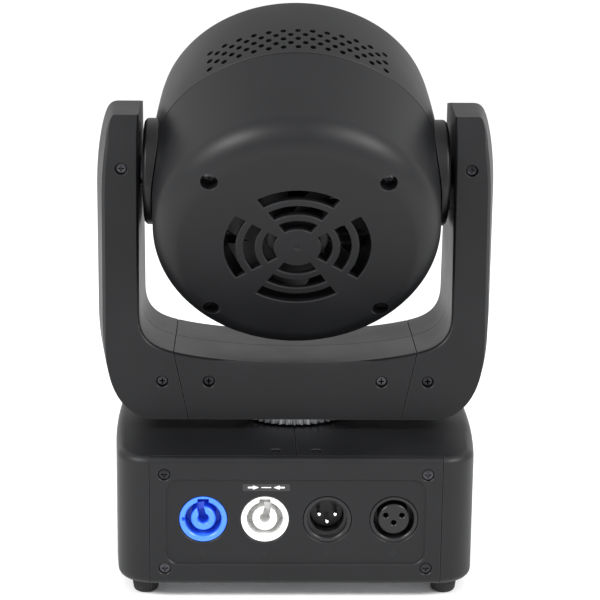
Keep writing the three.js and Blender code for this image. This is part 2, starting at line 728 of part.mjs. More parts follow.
// A U of bent sheet that carries the tilt bearings and bolts to the pan shaft.
function yokeFrame() {
  const outer = YOKE_INNER + WALL + 2.5;
  const floor = YOKE_BOTTOM + YOKE_FLOOR;
  const top = 222;
  const mirrored = (points) => [...points, ...points.map(([x, z]) => [-x, z]).reverse()];
  const outline = polygon(mirrored([
    [75.6, floor], [outer, floor + 9.8], [outer, top], [outer - SHEET, top],
    [outer - SHEET, floor + 10.6], [75.2, floor + SHEET],
  ]));
  const blank = wallSlab(outline, -17, 17);
  return cut(
    blank,
    rod('z', PAN_SHAFT + GAP, floor - 1, floor + SHEET + 1),
    rod('x', 11 + GAP, -outer - 1, outer + 1, [0, TILT_Z]),
    rod('x', 4, outer - SHEET - 1, outer + 1, [0, TILT_MOTOR_Z], 12),
  );
}

function fluted(outer, inner, z0, z1) {
  const flutes = 48;
  const depth = 1.2;
  const points = [];
  for (let i = 0; i < 2 * flutes; i += 1) {
    const angle = Math.PI * i / flutes;
    const radius = i % 2 === 0 ? outer : outer - depth;
    points.push([radius * Math.cos(angle), radius * Math.sin(angle)]);
  }
  return cut(solid(slab(polygon(points), z0, z1)), rod('z', inner, z0 - 1, z1 + 1));
}

function addPanShaft() {
  const floor = YOKE_BOTTOM + YOKE_FLOOR + SHEET + GAP;
  const flange = rod('z', 20, floor, floor + 3, [0, 0], 20);
  const shaft = join(rod('z', PAN_SHAFT, 44, floor + 3, [0, 0], 20), flange);
  const bore = rod('z', PAN_SHAFT - 3, 40, floor + 5, [0, 0], 20);
  piece('pan_shaft', cut(shaft, bore), aluminium(), yoke);
  const pulley = tube('z', PAN_PULLEY, PAN_SHAFT + GAP, ...PAN_BELT_Z, [0, 0], 28);
  piece('pan_pulley', pulley, aluminium(), yoke);
  piece('pan_ring', fluted(30, 22, BASE_TOP + 0.6, YOKE_BOTTOM - GAP), chrome(), yoke);
}

function addTiltDrive() {
  const [low, high] = TILT_BELT_X;
  const motorAt = [0, TILT_MOTOR_Z];
  const motor = join(rod('x', 10, 52, 76, motorAt), rod('x', 5, 75, 80.9, motorAt, 16));
  piece('tilt_motor', motor, steel(), yoke);
  for (const [name, side] of SIDES) {
    const [x0, x1] = side > 0 ? [81.4, 84.1] : [-84.1, -81.4];
    const bearing = tube('x', 11, TILT_SHAFT + GAP, x0, x1, [0, TILT_Z]);
    piece(`tilt_bearing_${name}`, bearing, chrome(), yoke);
  }
  const pulley = join(
    rod('x', 1.5, 81.2, high, motorAt, 12),
    rod('x', TILT_MOTOR_PULLEY, low, high, motorAt, 20),
  );
  piece('tilt_motor_pulley', pulley, aluminium(), yoke);
  const loop = belt(TILT_PULLEY, TILT_MOTOR_PULLEY, TILT_Z - TILT_MOTOR_Z, high - low - 1);
  loop.rotateX(Math.PI / 2).rotateZ(Math.PI / 2).translate(low + 0.5, 0, TILT_Z);
  piece('tilt_belt', loop, rubber(), yoke);
}

// ------------------------------------------------------------------------------ head
//
// Drawn with the beam along +Z and the tilt axis along X through the origin. +Y is the
// side with the vents, which is uppermost at rest.

// Radius of the barrel in front of the seam.
const barrelRadius = (z) =>
  HEAD_RADIUS - (HEAD_RADIUS - HEAD_FRONT_RADIUS) * (Math.max(z, 0) / HEAD_FRONT) ** 1.8;

function frontProfile(inset, from, to) {
  const steps = 3;
  const points = [];
  for (let i = 0; i <= steps; i += 1) {
    const z = from + (to - from) * i / steps;
    points.push([barrelRadius(z) - inset, z]);
  }
  return points;
}

// From the flat back face round the fillet to the seam.
function backProfile(inset, seam) {
  const steps = 3;
  const radius = HEAD_BACK_FILLET - inset;
  const centre = [HEAD_BACK_RADIUS - HEAD_BACK_FILLET, HEAD_BACK_FILLET - HEAD_BACK];
  const points = [];
  for (let i = 0; i <= steps; i += 1) {
    const angle = Math.PI / 2 * i / steps;
    points.push([centre[0] + radius * Math.sin(angle), centre[1] - radius * Math.cos(angle)]);
  }
  return [...points, [HEAD_RADIUS - inset, seam]];
}

function grilleSlots() {
  const half = radians(GRILLE_HALF_ANGLE);
  const slots = [];
  for (const [inner, outer] of GRILLE_RINGS) {
    for (let quarter = 0; quarter < 4; quarter += 1) {
      const middle = quarter * Math.PI / 2;
      const outline = new THREE.Shape();
      outline.absarc(0, 0, outer, middle - half, middle + half, false);
      outline.absarc(0, 0, inner, middle + half, middle - half, true);
      outline.closePath();
      slots.push(solid(slab(outline, -HEAD_BACK - 1, -HEAD_BACK + 2 * WALL, null, 3)));
    }
  }
  return slots;
}

const tiltHole = () => rod('x', TILT_SHAFT + 2, -80, 80);

function rearCover() {
  const outer = backProfile(0, -HALF_GAP);
  const inner = backProfile(WALL, -HALF_GAP);
  const body = turned([[0, -HEAD_BACK], ...outer, ...inner.reverse(), [0, WALL - HEAD_BACK]]);
  const [wellX, wellY] = HEAD_SCREW_AT;
  const screwWells = [[1, 1], [-1, 1], [1, -1], [-1, -1]].map(([x, y]) => (
    rod('z', 4.25, -HEAD_BACK - 1, -HEAD_BACK + 6, [x * wellX, y * wellY], 10)
  ));
  return cut(body, ...grilleSlots(), ...screwWells, tiltHole());
}

function ventHoles() {
  const holes = [];
  VENT_ROWS.forEach((z, row) => {
    const count = row % 2 === 0 ? 13 : 12;
    for (let i = 0; i < count; i += 1) {
      const x = (i - (count - 1) / 2) * VENT_PITCH;
      holes.push(rod('y', 1.7, 40, 80, [x, z], 4));
    }
  });
  return holes;
}

function frontCover() {
  const lip = 66.4;
  const outer = frontProfile(0, HALF_GAP, HEAD_FRONT - 1);
  const inner = frontProfile(WALL, HALF_GAP, HEAD_FRONT - WALL);
  const start = outer[0];
  const body = turned([
    ...outer, [HEAD_FRONT_RADIUS - 1, HEAD_FRONT], [lip, HEAD_FRONT],
    [lip, HEAD_FRONT - WALL], ...inner.reverse(), start,
  ]);
  return cut(body, ...ventHoles(), tiltHole());
}

function boss(side) {
  const reach = (radius, to) => (
    side > 0 ? rod('x', radius, 60, to, [0, 0], 28) : rod('x', radius, -to, -60, [0, 0], 28)
  );
  const outer = frontProfile(-GAP, 0, HEAD_FRONT);
  const barrel = turned([
    [0, -HEAD_BACK], [HEAD_BACK_RADIUS + 0.5, -HEAD_BACK], ...outer, [0, HEAD_FRONT],
  ], 32);
  const disc = join(reach(BOSS_RADIUS, BOSS_FACE - 1), reach(BOSS_RADIUS - 1, BOSS_FACE));
  return cut(disc, barrel, rod('x', TILT_SHAFT + GAP, -80, 80));
}

function tiltShaft(side) {
  const end = TILT_BELT_X[1] + 1.5;
  const [from, flange] = [66.7, 68.7];
  const rodTo = (radius, to) => (
    side > 0 ? rod('x', radius, from, to) : rod('x', radius, -to, -from)
  );
  const body = join(rodTo(TILT_SHAFT, end), rodTo(13, flange));
  return cut(body, rod('x', TILT_SHAFT - 2, -end - 1, end + 1));
}

// A ring of sheet behind the lenses with two tabs turned back along the barrel, to which
// the tilt shafts are bolted.
function headFrame() {
  const ring = tube('z', 69, 53, 15.3, 17.3, [0, 0], 32);
  const tabs = [[-66.4, -64.4], [64.4, 66.4]].map(([x0, x1]) => box(x0, x1, -14, 14, -14, 16));
  return cut(join(ring, ...tabs), rod('x', TILT_SHAFT - 2, -80, 80));
}

function heatSink() {
  const pitch = 6;
  const fin = 1.8;
  const [tail, root, face] = [-27, 9, 15];
  const fins = [];
  for (let y = -54; y <= 54; y += pitch) fins.push(box(-60, 60, y - fin / 2, y + fin / 2, tail, root + 1));
  const block = join(box(-60, 60, -60, 60, root, face), ...fins);
  return block.intersect(rod('z', 58, tail - 1, face + 1, [0, 0], 32));
}

const lensCentres = () => [
  [0, 0],
  ...Array.from({ length: 6 }, (_, i) => [
    LENS_CIRCLE * Math.cos(i * Math.PI / 3), LENS_CIRCLE * Math.sin(i * Math.PI / 3),
  ]),
];

function lensPlate() {
  const front = HEAD_FRONT - 5.8;
  const plate = rod('z', 57, front - 3, front, [0, 0], 32);
  const dome = new THREE.SphereGeometry(20, 10, 10).rotateX(Math.PI / 2);
  const domes = lensCentres().map(([x, y]) => (
    solid(dome.clone().translate(x, y, front + 4 - 20))
      .intersect(rod('z', LENS_RADIUS + 2, front - 2, front + 10, [x, y], 10))
  ));
  return join(plate, ...domes);
}

function bezel() {
  const [back, front] = [HEAD_FRONT - 9.2, HEAD_FRONT + 4.7];
  return turned([
    [58, back], [66, back], [66, front - 1], [65, front], [61, front], [58, front - 4.5], [58, back],
  ], 32);
}

function fanFrame() {
  const half = 40;
  const [back, front] = [-54.3, -34];
  const blank = solid(slab(roundedRectangle(-half, half, -half, half, 6), back, front));
  const bore = rod('z', 38, back - 1, front + 1, [0, 0], 28);
  const hub = rod('z', 14, front - 3, front);
  const struts = [0, 1].map((turn) => (
    solid(new THREE.BoxGeometry(78, 4, 2.5).translate(0, 0, front - 1.25)
      .rotateZ(turn * Math.PI / 2 + Math.PI / 4))
  ));
  return join(cut(blank, bore), hub, ...struts);
}

function fanRotor() {
  const blades = 7;
  const hub = rod('z', 15, -52.5, -38, [0, 0], 20);
  const blade = new THREE.BoxGeometry(24, 1.2, 15).rotateX(radians(38)).translate(24.5, 0, -45.5);
  const turnedBlades = Array.from({ length: blades }, (_, i) => (
    solid(blade.clone().rotateZ(i * 2 * Math.PI / blades))
  ));
  return join(hub, ...turnedBlades);
}

function addHead() {
  piece('head_cover_rear', rearCover(), blackPlastic(), head);
  piece('head_cover_front', frontCover(), blackPlastic(), head);
  for (const [name, side] of SIDES) {
    piece(`head_boss_${name}`, boss(side), blackPlastic(), head);
    piece(`tilt_shaft_${name}`, tiltShaft(side), chrome(), head);
  }
  const pulley = tube('x', TILT_PULLEY, TILT_SHAFT + GAP, ...TILT_BELT_X, [0, 0], 24);
  piece('tilt_pulley', pulley, aluminium(), head);
  piece('head_frame', headFrame(), steel(), head);
  piece('heat_sink', heatSink(), aluminium(), head);
  piece('led_board', rod('z', 52, 15.3, 16.9, [0, 0], 24), whitePlastic(), head);
  piece('lens_plate', lensPlate(), lensPlastic(), head);
  piece('front_bezel', bezel(), blackPlastic(), head);
  piece('fan_frame', fanFrame(), blackPlastic(), head);
  piece('fan_rotor', fanRotor(), blackPlastic(), head);
}

// -------------------------------------------------------------------------- assembly

const light = new THREE.Group();
const base = new THREE.Group();
const yoke = new THREE.Group();
const head = new THREE.Group();
light.add(base, yoke, head);
light.position.y = PAN_AXIS_Y;
head.position.z = TILT_Z;
head.rotation.x = radians(90 - BEAM_ELEVATION);

addHousing();
addSockets();
addControls();
piece('power_supply', powerSupply(), circuitBoard(), base);
addPanDrive();
addYokeCovers();
piece('yoke_frame', yokeFrame(), steel(), yoke);
addPanShaft();
addTiltDrive();
addHead();

export default light;
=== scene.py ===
"""The looks of a compact moving head wash light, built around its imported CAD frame.

Shapes are drawn in millimetres and become objects in metres. Base and yoke shapes are drawn
about the pan axis, with the floor at z = 0. Head shapes are drawn about the point where the
tilt axis meets the beam, with the beam along +Z and the vents on the +Y side.
"""

import json
import math
from itertools import product

import bmesh
import bpy
from mathutils import Matrix, Vector


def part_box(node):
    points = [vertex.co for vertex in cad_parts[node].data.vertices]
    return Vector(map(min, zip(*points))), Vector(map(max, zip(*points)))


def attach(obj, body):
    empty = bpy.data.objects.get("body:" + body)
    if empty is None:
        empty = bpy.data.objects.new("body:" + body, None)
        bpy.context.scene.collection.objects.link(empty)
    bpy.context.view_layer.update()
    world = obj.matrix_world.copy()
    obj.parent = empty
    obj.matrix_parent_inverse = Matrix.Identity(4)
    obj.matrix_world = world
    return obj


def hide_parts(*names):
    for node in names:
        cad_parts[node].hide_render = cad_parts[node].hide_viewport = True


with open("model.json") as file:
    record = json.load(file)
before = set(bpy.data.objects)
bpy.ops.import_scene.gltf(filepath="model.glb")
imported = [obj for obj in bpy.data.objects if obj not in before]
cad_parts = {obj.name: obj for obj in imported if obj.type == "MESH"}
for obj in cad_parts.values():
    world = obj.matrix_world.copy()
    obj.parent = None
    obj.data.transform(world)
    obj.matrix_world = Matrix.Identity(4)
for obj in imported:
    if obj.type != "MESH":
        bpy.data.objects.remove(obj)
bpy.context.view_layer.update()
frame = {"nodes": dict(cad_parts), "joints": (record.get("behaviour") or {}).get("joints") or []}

MM = 0.001

# ------------------------------------------------------------------ places from the frame

JOINTS = {joint["name"]: joint for joint in frame["joints"]}
PAN_AXIS = Vector(JOINTS["pan"]["pos_m"]) / MM
PIVOT = Vector(JOINTS["tilt"]["pos_m"]) / MM
BEAM = Vector(JOINTS["fan_spin"]["axis"])
STAND = Matrix.Translation((PAN_AXIS.x, PAN_AXIS.y, 0))
HEAD = Matrix.Translation(PIVOT) @ Matrix.Rotation(math.atan2(-BEAM.y, BEAM.z), 4, "X")
TILT_Z = PIVOT.z


def extent(*nodes):
    """Lowest and highest corner of some CAD nodes, in millimetres, about the pan axis."""
    boxes = [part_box(node) for node in nodes]
    shift = Vector((PAN_AXIS.x, PAN_AXIS.y, 0))
    low = Vector([min(box[0][i] for box in boxes) for i in range(3)]) / MM - shift
    high = Vector([max(box[1][i] for box in boxes) for i in range(3)]) / MM - shift
    return low, high


def middle(node):
    low, high = extent(node)
    return (low + high) / 2


SHELL_LOW, SHELL_HIGH = extent("base_shell_left", "base_shell_right")
PANEL_LOW, PANEL_HIGH = extent("rear_panel")
YOKE_LOW, YOKE_HIGH = extent(
    "arm_cover_left_front", "arm_cover_left_rear", "arm_cover_right_front",
    "arm_cover_right_rear", "yoke_centre_cover_front", "yoke_centre_cover_rear",
)
BASE_HALF_WIDTH = SHELL_HIGH.x
BASE_BOTTOM = SHELL_LOW.z
BASE_TOP = SHELL_HIGH.z
PANEL_FACE = PANEL_HIGH.y
PANEL_BACK = PANEL_LOW.y
PANEL_HALF_WIDTH = PANEL_HIGH.x
YOKE_HALF_WIDTH = YOKE_HIGH.x
YOKE_BOTTOM = YOKE_LOW.z
YOKE_TOP = YOKE_HIGH.z
YOKE_DEPTH_BOTTOM = extent("yoke_centre_cover_rear")[1].y
BOSS_FACE = extent("head_boss_right")[1].x
BOSS_RADIUS = (extent("head_boss_right")[1].z - extent("head_boss_right")[0].z) / 2
RING_LOW, RING_HIGH = extent("pan_ring")

# --------------------------------------------------------------- other driving dimensions

WALL = 2.5
GAP = 0.3
SHELL_EDGE = 4.0
BASE_CORNER = 17.3
BASE_SIDE_RADIUS = 601.0
PANEL_ROUND = 3.0
PANEL_SCREWS = [Vector((middle(f"rear_panel_screw_{i}").x, middle(f"rear_panel_screw_{i}").z))
                for i in range(1, 5)]
RECESS_HALF_WIDTH = 63.5
RECESS_BOTTOM = 19.2
RECESS_TOP = 62.6
RECESS_CORNER = 6.5
RECESS_DEPTH = 1.0
SOCKET_FACE = PANEL_FACE - RECESS_DEPTH
SOCKET_HOLE = 12.0

YOKE_INNER = 78.3
YOKE_SADDLE = 109.2
YOKE_DEPTH_TOP = 23.4
YOKE_CHAMFER_DEPTH = 1.8
# How far the yoke's outline has drawn in where the bevel round an end face starts, and the
# bevel's own width, as (height, amount) pairs.
YOKE_DRAFT = [
    (79.9, 0.3), (84.6, 1.8), (92.4, 2.8), (104, 3.8), (125, 4.2), (218, 4.2), (228, 3.4),
]
YOKE_CHAMFER = [
    (79.9, 0.4), (108, 0.5), (118, 1.1), (130, 1.6), (218, 1.6), (228, 1.0), (236.7, 0.3),
]
# Above the bend the arms' front and rear faces lean in more steeply.
FACE_BEND = 220.5
FACE_LEAN = 0.135
SEAM_FOOT = 53.5
SEAM_LEAN = 0.221
YOKE_SCREWS = [(86.9, 206.5), (66.9, 99.9), (43.5, 99.9)]

HEAD_RADIUS = 74.1
HEAD_FRONT = 48.6
HEAD_FRONT_RADIUS = 70.3
HEAD_BACK = 58.7
HEAD_BACK_RADIUS = 70.9
HEAD_BACK_FILLET = 14.5
TILT_SHAFT = 7.0
GRILLE_RINGS = [(11.6, 17.1), (20.9, 26.4), (30.2, 35.9)]
GRILLE_HALF_ANGLE = math.radians(33.5)
HEAD_SCREW_X = 42.6
HEAD_SCREW_Y = 40.5
VENT_PITCH = 7.2
VENT_ROWS = [5.0, 8.6, 12.2, 15.8, 19.4]
VENT_RADIUS = 1.55
LENS_CIRCLE = 36.0
LENS_RADIUS = 13.0

# ------------------------------------------------------------------------- mesh helpers


def mesh_of(points, faces):
    mesh = bpy.data.meshes.new("shape")
    mesh.from_pydata([tuple(p) for p in points], [], faces)
    mesh.update()
    return mesh


def loft(rings, closed=False):
    """A skin over rings of equal count, each anticlockwise seen from the last ring's side.
    Its ends are capped, or joined to each other if it is closed."""
    count = len(rings[0])
    points = [p for ring in rings for p in ring]
    faces = []
    spans = len(rings) if closed else len(rings) - 1
    for i in range(spans):
        low = i * count
        high = (i + 1) % len(rings) * count
        for j in range(count):
            k = (j + 1) % count
            faces.append((low + j, low + k, high + k, high + j))
    if not closed:
        faces.append(tuple(reversed(range(count))))
        faces.append(tuple(range(len(points) - count, len(points))))
    return mesh_of(points, faces)


def circle(radius, z=0.0, segments=96, at=(0.0, 0.0)):
    turns = [2 * math.pi * i / segments for i in range(segments)]
    return [Vector((at[0] + radius * math.cos(t), at[1] + radius * math.sin(t), z)) for t in turns]


def turned(profile, segments=96, closed=False):
    """A solid of revolution about Z from (radius, z) pairs that run upwards on the outside."""
    return loft([circle(radius, z, segments) for radius, z in profile], closed)


def arc(centre, radius, start, end, steps):
    """Points of an arc, as (x, y), from one angle in degrees to another."""
    angles = [math.radians(start + (end - start) * i / steps) for i in range(steps + 1)]
    return [(centre[0] + radius * math.cos(a), centre[1] + radius * math.sin(a)) for a in angles]


def bezier(start, first, second, end, steps=12):
    """Points of a cubic curve after its start point."""
    points = []
    for i in range(1, steps + 1):
        t = i / steps
        u = 1 - t
        weights = (u * u * u, 3 * u * u * t, 3 * u * t * t, t * t * t)
        points.append(tuple(
            sum(w * p[k] for w, p in zip(weights, (start, first, second, end))) for k in (0, 1)
        ))
    return points


def rounded_rectangle(x0, x1, y0, y1, radius, steps=10):
    return (
        arc((x1 - radius, y0 + radius), radius, -90, 0, steps)
        + arc((x1 - radius, y1 - radius), radius, 0, 90, steps)
        + arc((x0 + radius, y1 - radius), radius, 90, 180, steps)
        + arc((x0 + radius, y0 + radius), radius, 180, 270, steps)
    )


def inset(outline, amounts):
    """An anticlockwise outline moved inwards. Edge i, from point i on, moves by amounts[i]."""
    points = [Vector(p) for p in outline]
    count = len(points)
    moved = []
    for i, corner in enumerate(points):
        before = (corner - points[i - 1]).normalized()
        after = (points[(i + 1) % count] - corner).normalized()
        a = amounts[i - 1]
        b = amounts[i]
        turn = before.x * after.y - before.y * after.x
        if abs(turn) < 0.05:
            inwards = Vector((-before.y - after.y, before.x + after.x)).normalized()
            moved.append(corner + inwards * (a + b) / 2)
        else:
            moved.append(corner + (after * a - before * b) / turn)
    return moved


def slab(outline, levels):
    """An outline raised through (z, inset) levels."""
    rings = []
    for z, amount in levels:
        ring = [Vector(p) for p in outline]
        if amount:
            ring = inset(outline, [amount] * len(outline))
        rings.append([Vector((p.x, p.y, z)) for p in ring])
    return loft(rings)


def edged(low, high, radius, steps=4):
    """The (z, inset) levels of a slab whose two rims are rounded."""
    bend = [math.radians(90 * i / steps) for i in range(steps + 1)]
    rim = [(radius * (1 - math.sin(a)), radius * (1 - math.cos(a))) for a in bend]
    foot = [(low + rise, amount) for rise, amount in reversed(rim)]
    crown = [(high - rise, amount) for rise, amount in rim]
    return foot + crown


def block(x0, x1, y0, y1, z0, z1):
    corners = [(x0, y0), (x1, y0), (x1, y1), (x0, y1)]
    return slab(corners, [(z0, 0), (z1, 0)])


def moved(mesh, matrix):
    mesh.transform(matrix)
    if matrix.determinant() < 0:
        mesh.flip_normals()
    return mesh


def shifted(mesh, x=0.0, y=0.0, z=0.0):
    return moved(mesh, Matrix.Translation((x, y, z)))


# Turn what was drawn along +Z so that it points along +Y or +X.
TO_Y = Matrix.Rotation(-math.pi / 2, 4, "X")
TO_X = Matrix.Rotation(math.pi / 2, 4, "Y")
# A wall drawn as an (x, z) outline: its own z becomes -y, so it is turned round again.
FACING_REAR = Matrix(((-1, 0, 0, 0), (0, 0, 1, 0), (0, 1, 0, 0), (0, 0, 0, 1)))
HALF_TURN = Matrix.Rotation(math.pi, 4, "Z")


def joined(*meshes):
    """Separate solids as one mesh."""
    body = bmesh.new()
    for mesh in meshes:
        body.from_mesh(mesh)
    result = bpy.data.meshes.new("shape")
    body.to_mesh(result)
    body.free()
    return result


def combined(mesh, others, operation):
    """The mesh with each of the others cut away (DIFFERENCE), added (UNION) or kept (INTERSECT)."""
    scene = bpy.context.scene.collection
    target = bpy.data.objects.new("target", mesh)
    scene.objects.link(target)
    tools = []
    for other in others:
        tool = bpy.data.objects.new("tool", other)
        scene.objects.link(tool)
        tools.append(tool)
        step = target.modifiers.new("step", "BOOLEAN")
        step.operation = operation
        step.solver = "MANIFOLD"
        step.object = tool
    bpy.context.view_layer.update()
    graph = bpy.context.evaluated_depsgraph_get()
    result = bpy.data.meshes.new_from_object(target.evaluated_get(graph))
    for item in [target, *tools]:
        bpy.data.objects.remove(item)
    return result


def cut(mesh, *others):
    return combined(mesh, others, "DIFFERENCE")


def kept(mesh, other):
    return combined(mesh, [other], "INTERSECT")


def added(mesh, *others):
    return combined(mesh, others, "UNION")


def cleaned(mesh):
    """Joins the slivers that cutting leaves in flat faces."""
    body = bmesh.new()
    body.from_mesh(mesh)
    bmesh.ops.remove_doubles(body, verts=body.verts, dist=0.004)
    bmesh.ops.dissolve_limit(
        body, angle_limit=math.radians(0.4), verts=body.verts, edges=body.edges,
    )
    body.to_mesh(mesh)
    body.free()
    return mesh


def patch_areas(body):
    """The area of the flat patch that each face lies in, in the faces' order."""
    areas = [0.0] * len(body.faces)
    seen = set()
    for start in body.faces:
        if start.index in seen:
            continue
        seen.add(start.index)
        patch = [start]
        for face in patch:
            for edge in face.edges:
                for other in edge.link_faces:
                    if other.index not in seen and other.normal.dot(start.normal) > 0.99999:
                        seen.add(other.index)
                        patch.append(other)
        total = sum(face.calc_area() for face in patch)
        for face in patch:
            areas[face.index] = total
    return areas


def set_normals(mesh):
    """Normals that are shared across soft edges, where wide flat patches stay flat."""
    body = bmesh.new()
    body.from_mesh(mesh)
    body.faces.ensure_lookup_table()
    areas = patch_areas(body)
    place_of = {}
    for face in body.faces:
        for loop in face.loops:
            place_of[loop] = len(place_of)
    normals = [None] * len(place_of)
    for vert in body.verts:
        waiting = {loop.face.index: loop for loop in vert.link_loops}
        while waiting:
            group = [waiting.popitem()[1]]
            for loop in group:
                for edge in (loop.edge, loop.link_loop_prev.edge):
                    if edge.smooth:
                        near = [face.index for face in edge.link_faces if face.index in waiting]
                        group += [waiting.pop(index) for index in near]
            widest = max(areas[loop.face.index] for loop in group)
            total = Vector()
            for loop in group:
                if areas[loop.face.index] > 0.3 * widest:
                    total += loop.face.normal * loop.calc_angle()
            for loop in group:
                normals[place_of[loop]] = total.normalized()
    body.free()
    mesh.normals_split_custom_set(normals)


def show(name, mesh, place, body, finish, stands_for=(), bevel=0.0, sharp=35.0):
    """Turns a shape in millimetres into a finished piece of the light."""
    cleaned(mesh)
    mesh.transform(Matrix.Scale(MM, 4) @ place)
    mesh.name = name
    mesh.materials.clear()
    mesh.materials.append(finish)
    mesh.polygons.foreach_set("material_index", [0] * len(mesh.polygons))
    piece = bpy.data.objects.new(name, mesh)
    bpy.context.scene.collection.objects.link(piece)
    if bevel:
        rim = piece.modifiers.new("rim", "BEVEL")
        rim.width = bevel * MM
        rim.segments = 2
        rim.limit_method = "ANGLE"
        rim.angle_limit = math.radians(sharp)
        rim.use_clamp_overlap = True
        graph = bpy.context.evaluated_depsgraph_get()
        piece.data = bpy.data.meshes.new_from_object(piece.evaluated_get(graph))
        piece.modifiers.clear()
        piece.data.name = name
    piece.data.shade_smooth()
    piece.data.set_sharp_from_angle(angle=math.radians(sharp))
    set_normals(piece.data)
    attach(piece, body)
    if stands_for:
        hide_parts(*stands_for)
    return piece


# ---------------------------------------------------------------------------- materials


def new_material(name):
    """A node material, and its tree's nodes and links."""
    material = bpy.data.materials.new(name)
    material.use_nodes = True
    tree = material.node_tree
    tree.nodes.clear()
    output = tree.nodes.new("ShaderNodeOutputMaterial")
    shader = tree.nodes.new("ShaderNodeBsdfPrincipled")
    tree.links.new(shader.outputs["BSDF"], output.inputs["Surface"])
    return material, tree, shader


def noise(tree, scale, detail=2.0, stretch=None):
    """A noise over the object's own coordinates, in features per metre."""
    coordinates = tree.nodes.new("ShaderNodeTexCoord")
    source = coordinates.outputs["Object"]
    if stretch:
        mapping = tree.nodes.new("ShaderNodeMapping")
        mapping.inputs["Scale"].default_value = stretch
        tree.links.new(source, mapping.inputs["Vector"])
        source = mapping.outputs["Vector"]
    texture = tree.nodes.new("ShaderNodeTexNoise")
    texture.inputs["Scale"].default_value = scale
    texture.inputs["Detail"].default_value = detail
    tree.links.new(source, texture.inputs["Vector"])
    return texture.outputs["Fac"]


def ramp(tree, source, stops):
    """Maps a value through (position, value or colour) stops."""
    node = tree.nodes.new("ShaderNodeValToRGB")
    elements = node.color_ramp.elements
    while len(elements) < len(stops):
        elements.new(0.5)
    for element, (position, value) in zip(elements, stops):
        element.position = position
        colour = value if isinstance(value, tuple) else (value, value, value)
        element.color = (*colour, 1)
    tree.links.new(source, node.inputs["Fac"])
    return node.outputs["Color"]


def painted_edge_sheen(tree, width):
    """A mask for a painted sheen on edges: 1 on a convex edge, fading to 0 on open surfaces."""
    rounded = tree.nodes.new("ShaderNodeBevel")
    rounded.samples = 4
    rounded.inputs["Radius"].default_value = 0.0004
    geometry = tree.nodes.new("ShaderNodeNewGeometry")
    likeness = tree.nodes.new("ShaderNodeVectorMath")
    likeness.operation = "DOT_PRODUCT"
    tree.links.new(rounded.outputs["Normal"], likeness.inputs[0])
    tree.links.new(geometry.outputs["Normal"], likeness.inputs[1])
    return ramp(tree, likeness.outputs["Value"], [(0.99 - 3 * width, 1.0), (0.99, 0.0)])


def mixed(tree, factor, first, second):
    node = tree.nodes.new("ShaderNodeMix")
    node.data_type = "RGBA"
    tree.links.new(factor, node.inputs["Factor"])
    for name, value in (("A", first), ("B", second)):
        socket = next(s for s in node.inputs if s.name == name and s.type == "RGBA")
        if isinstance(value, tuple):
            socket.default_value = (*value, 1)
        else:
            tree.links.new(value, socket)
    return next(s for s in node.outputs if s.type == "RGBA")


def bumped(tree, shader, layers):
    """Bump from (height, strength, distance in metres) layers, stacked."""
    normal = None
    for height, strength, distance in layers:
        node = tree.nodes.new("ShaderNodeBump")
        node.inputs["Strength"].default_value = strength
        node.inputs["Distance"].default_value = distance
        tree.links.new(height, node.inputs["Height"])
        if normal:
            tree.links.new(normal, node.inputs["Normal"])
        normal = node.outputs["Normal"]
    tree.links.new(normal, shader.inputs["Normal"])


def moulded(name, dark, light, edge_sheen_colour, roughness, grain=2600.0, grain_depth=0.00005,
            specular=0.25, edge_sheen_width=0.06):
    """Spark-textured moulded plastic: fine grain, cloudy gloss and a painted sheen that lightens its edges.
    """
    material, tree, shader = new_material(name)
    clouds = noise(tree, 28, 4)
    grain_height = noise(tree, grain, 2)
    pits = noise(tree, grain * 2.3, 1)
    base = ramp(tree, clouds, [(0.3, dark), (0.7, light)])
    speckled = mixed(tree, ramp(tree, pits, [(0.35, 0.0), (0.75, 0.35)]), base, light)
    # The edges are mixed towards a lighter colour: a painted sheen.
    tree.links.new(
        mixed(tree, painted_edge_sheen(tree, edge_sheen_width), speckled, edge_sheen_colour), shader.inputs["Base Color"],
    )
    low, high = roughness
    tree.links.new(ramp(tree, clouds, [(0.3, low), (0.7, high)]), shader.inputs["Roughness"])
    shader.inputs["Specular IOR Level"].default_value = specular
    bumped(tree, shader, [(grain_height, 0.35, grain_depth), (pits, 0.25, grain_depth / 2)])
    return material


def metal(name, dark, light, roughness, stretch=(1, 1, 1), scratch=900.0):
    """Metal with drawn or turned marks that run along the axis that stretch makes short."""
    material, tree, shader = new_material(name)
    marks = noise(tree, scratch, 3, stretch)
    clouds = noise(tree, 45, 3)
    colour = mixed(tree, ramp(tree, clouds, [(0.35, 0.0), (0.65, 1.0)]), dark, light)
    tree.links.new(colour, shader.inputs["Base Color"])
    low, high = roughness
    tree.links.new(ramp(tree, marks, [(0.3, low), (0.7, high)]), shader.inputs["Roughness"])
    shader.inputs["Metallic"].default_value = 1.0
    bumped(tree, shader, [(marks, 0.2, 0.00002)])
    return material


def glossy(name, dark, light, roughness, specular=0.5):
    """Smooth moulded plastic with a faint flow pattern."""
    material, tree, shader = new_material(name)
    flow = noise(tree, 60, 3, (1, 1, 3))
    tree.links.new(ramp(tree, flow, [(0.3, dark), (0.7, light)]), shader.inputs["Base Color"])
    low, high = roughness
    tree.links.new(ramp(tree, flow, [(0.3, low), (0.7, high)]), shader.inputs["Roughness"])
    shader.inputs["Specular IOR Level"].default_value = specular
    bumped(tree, shader, [(noise(tree, 700, 2), 0.12, 0.00003)])
    return material


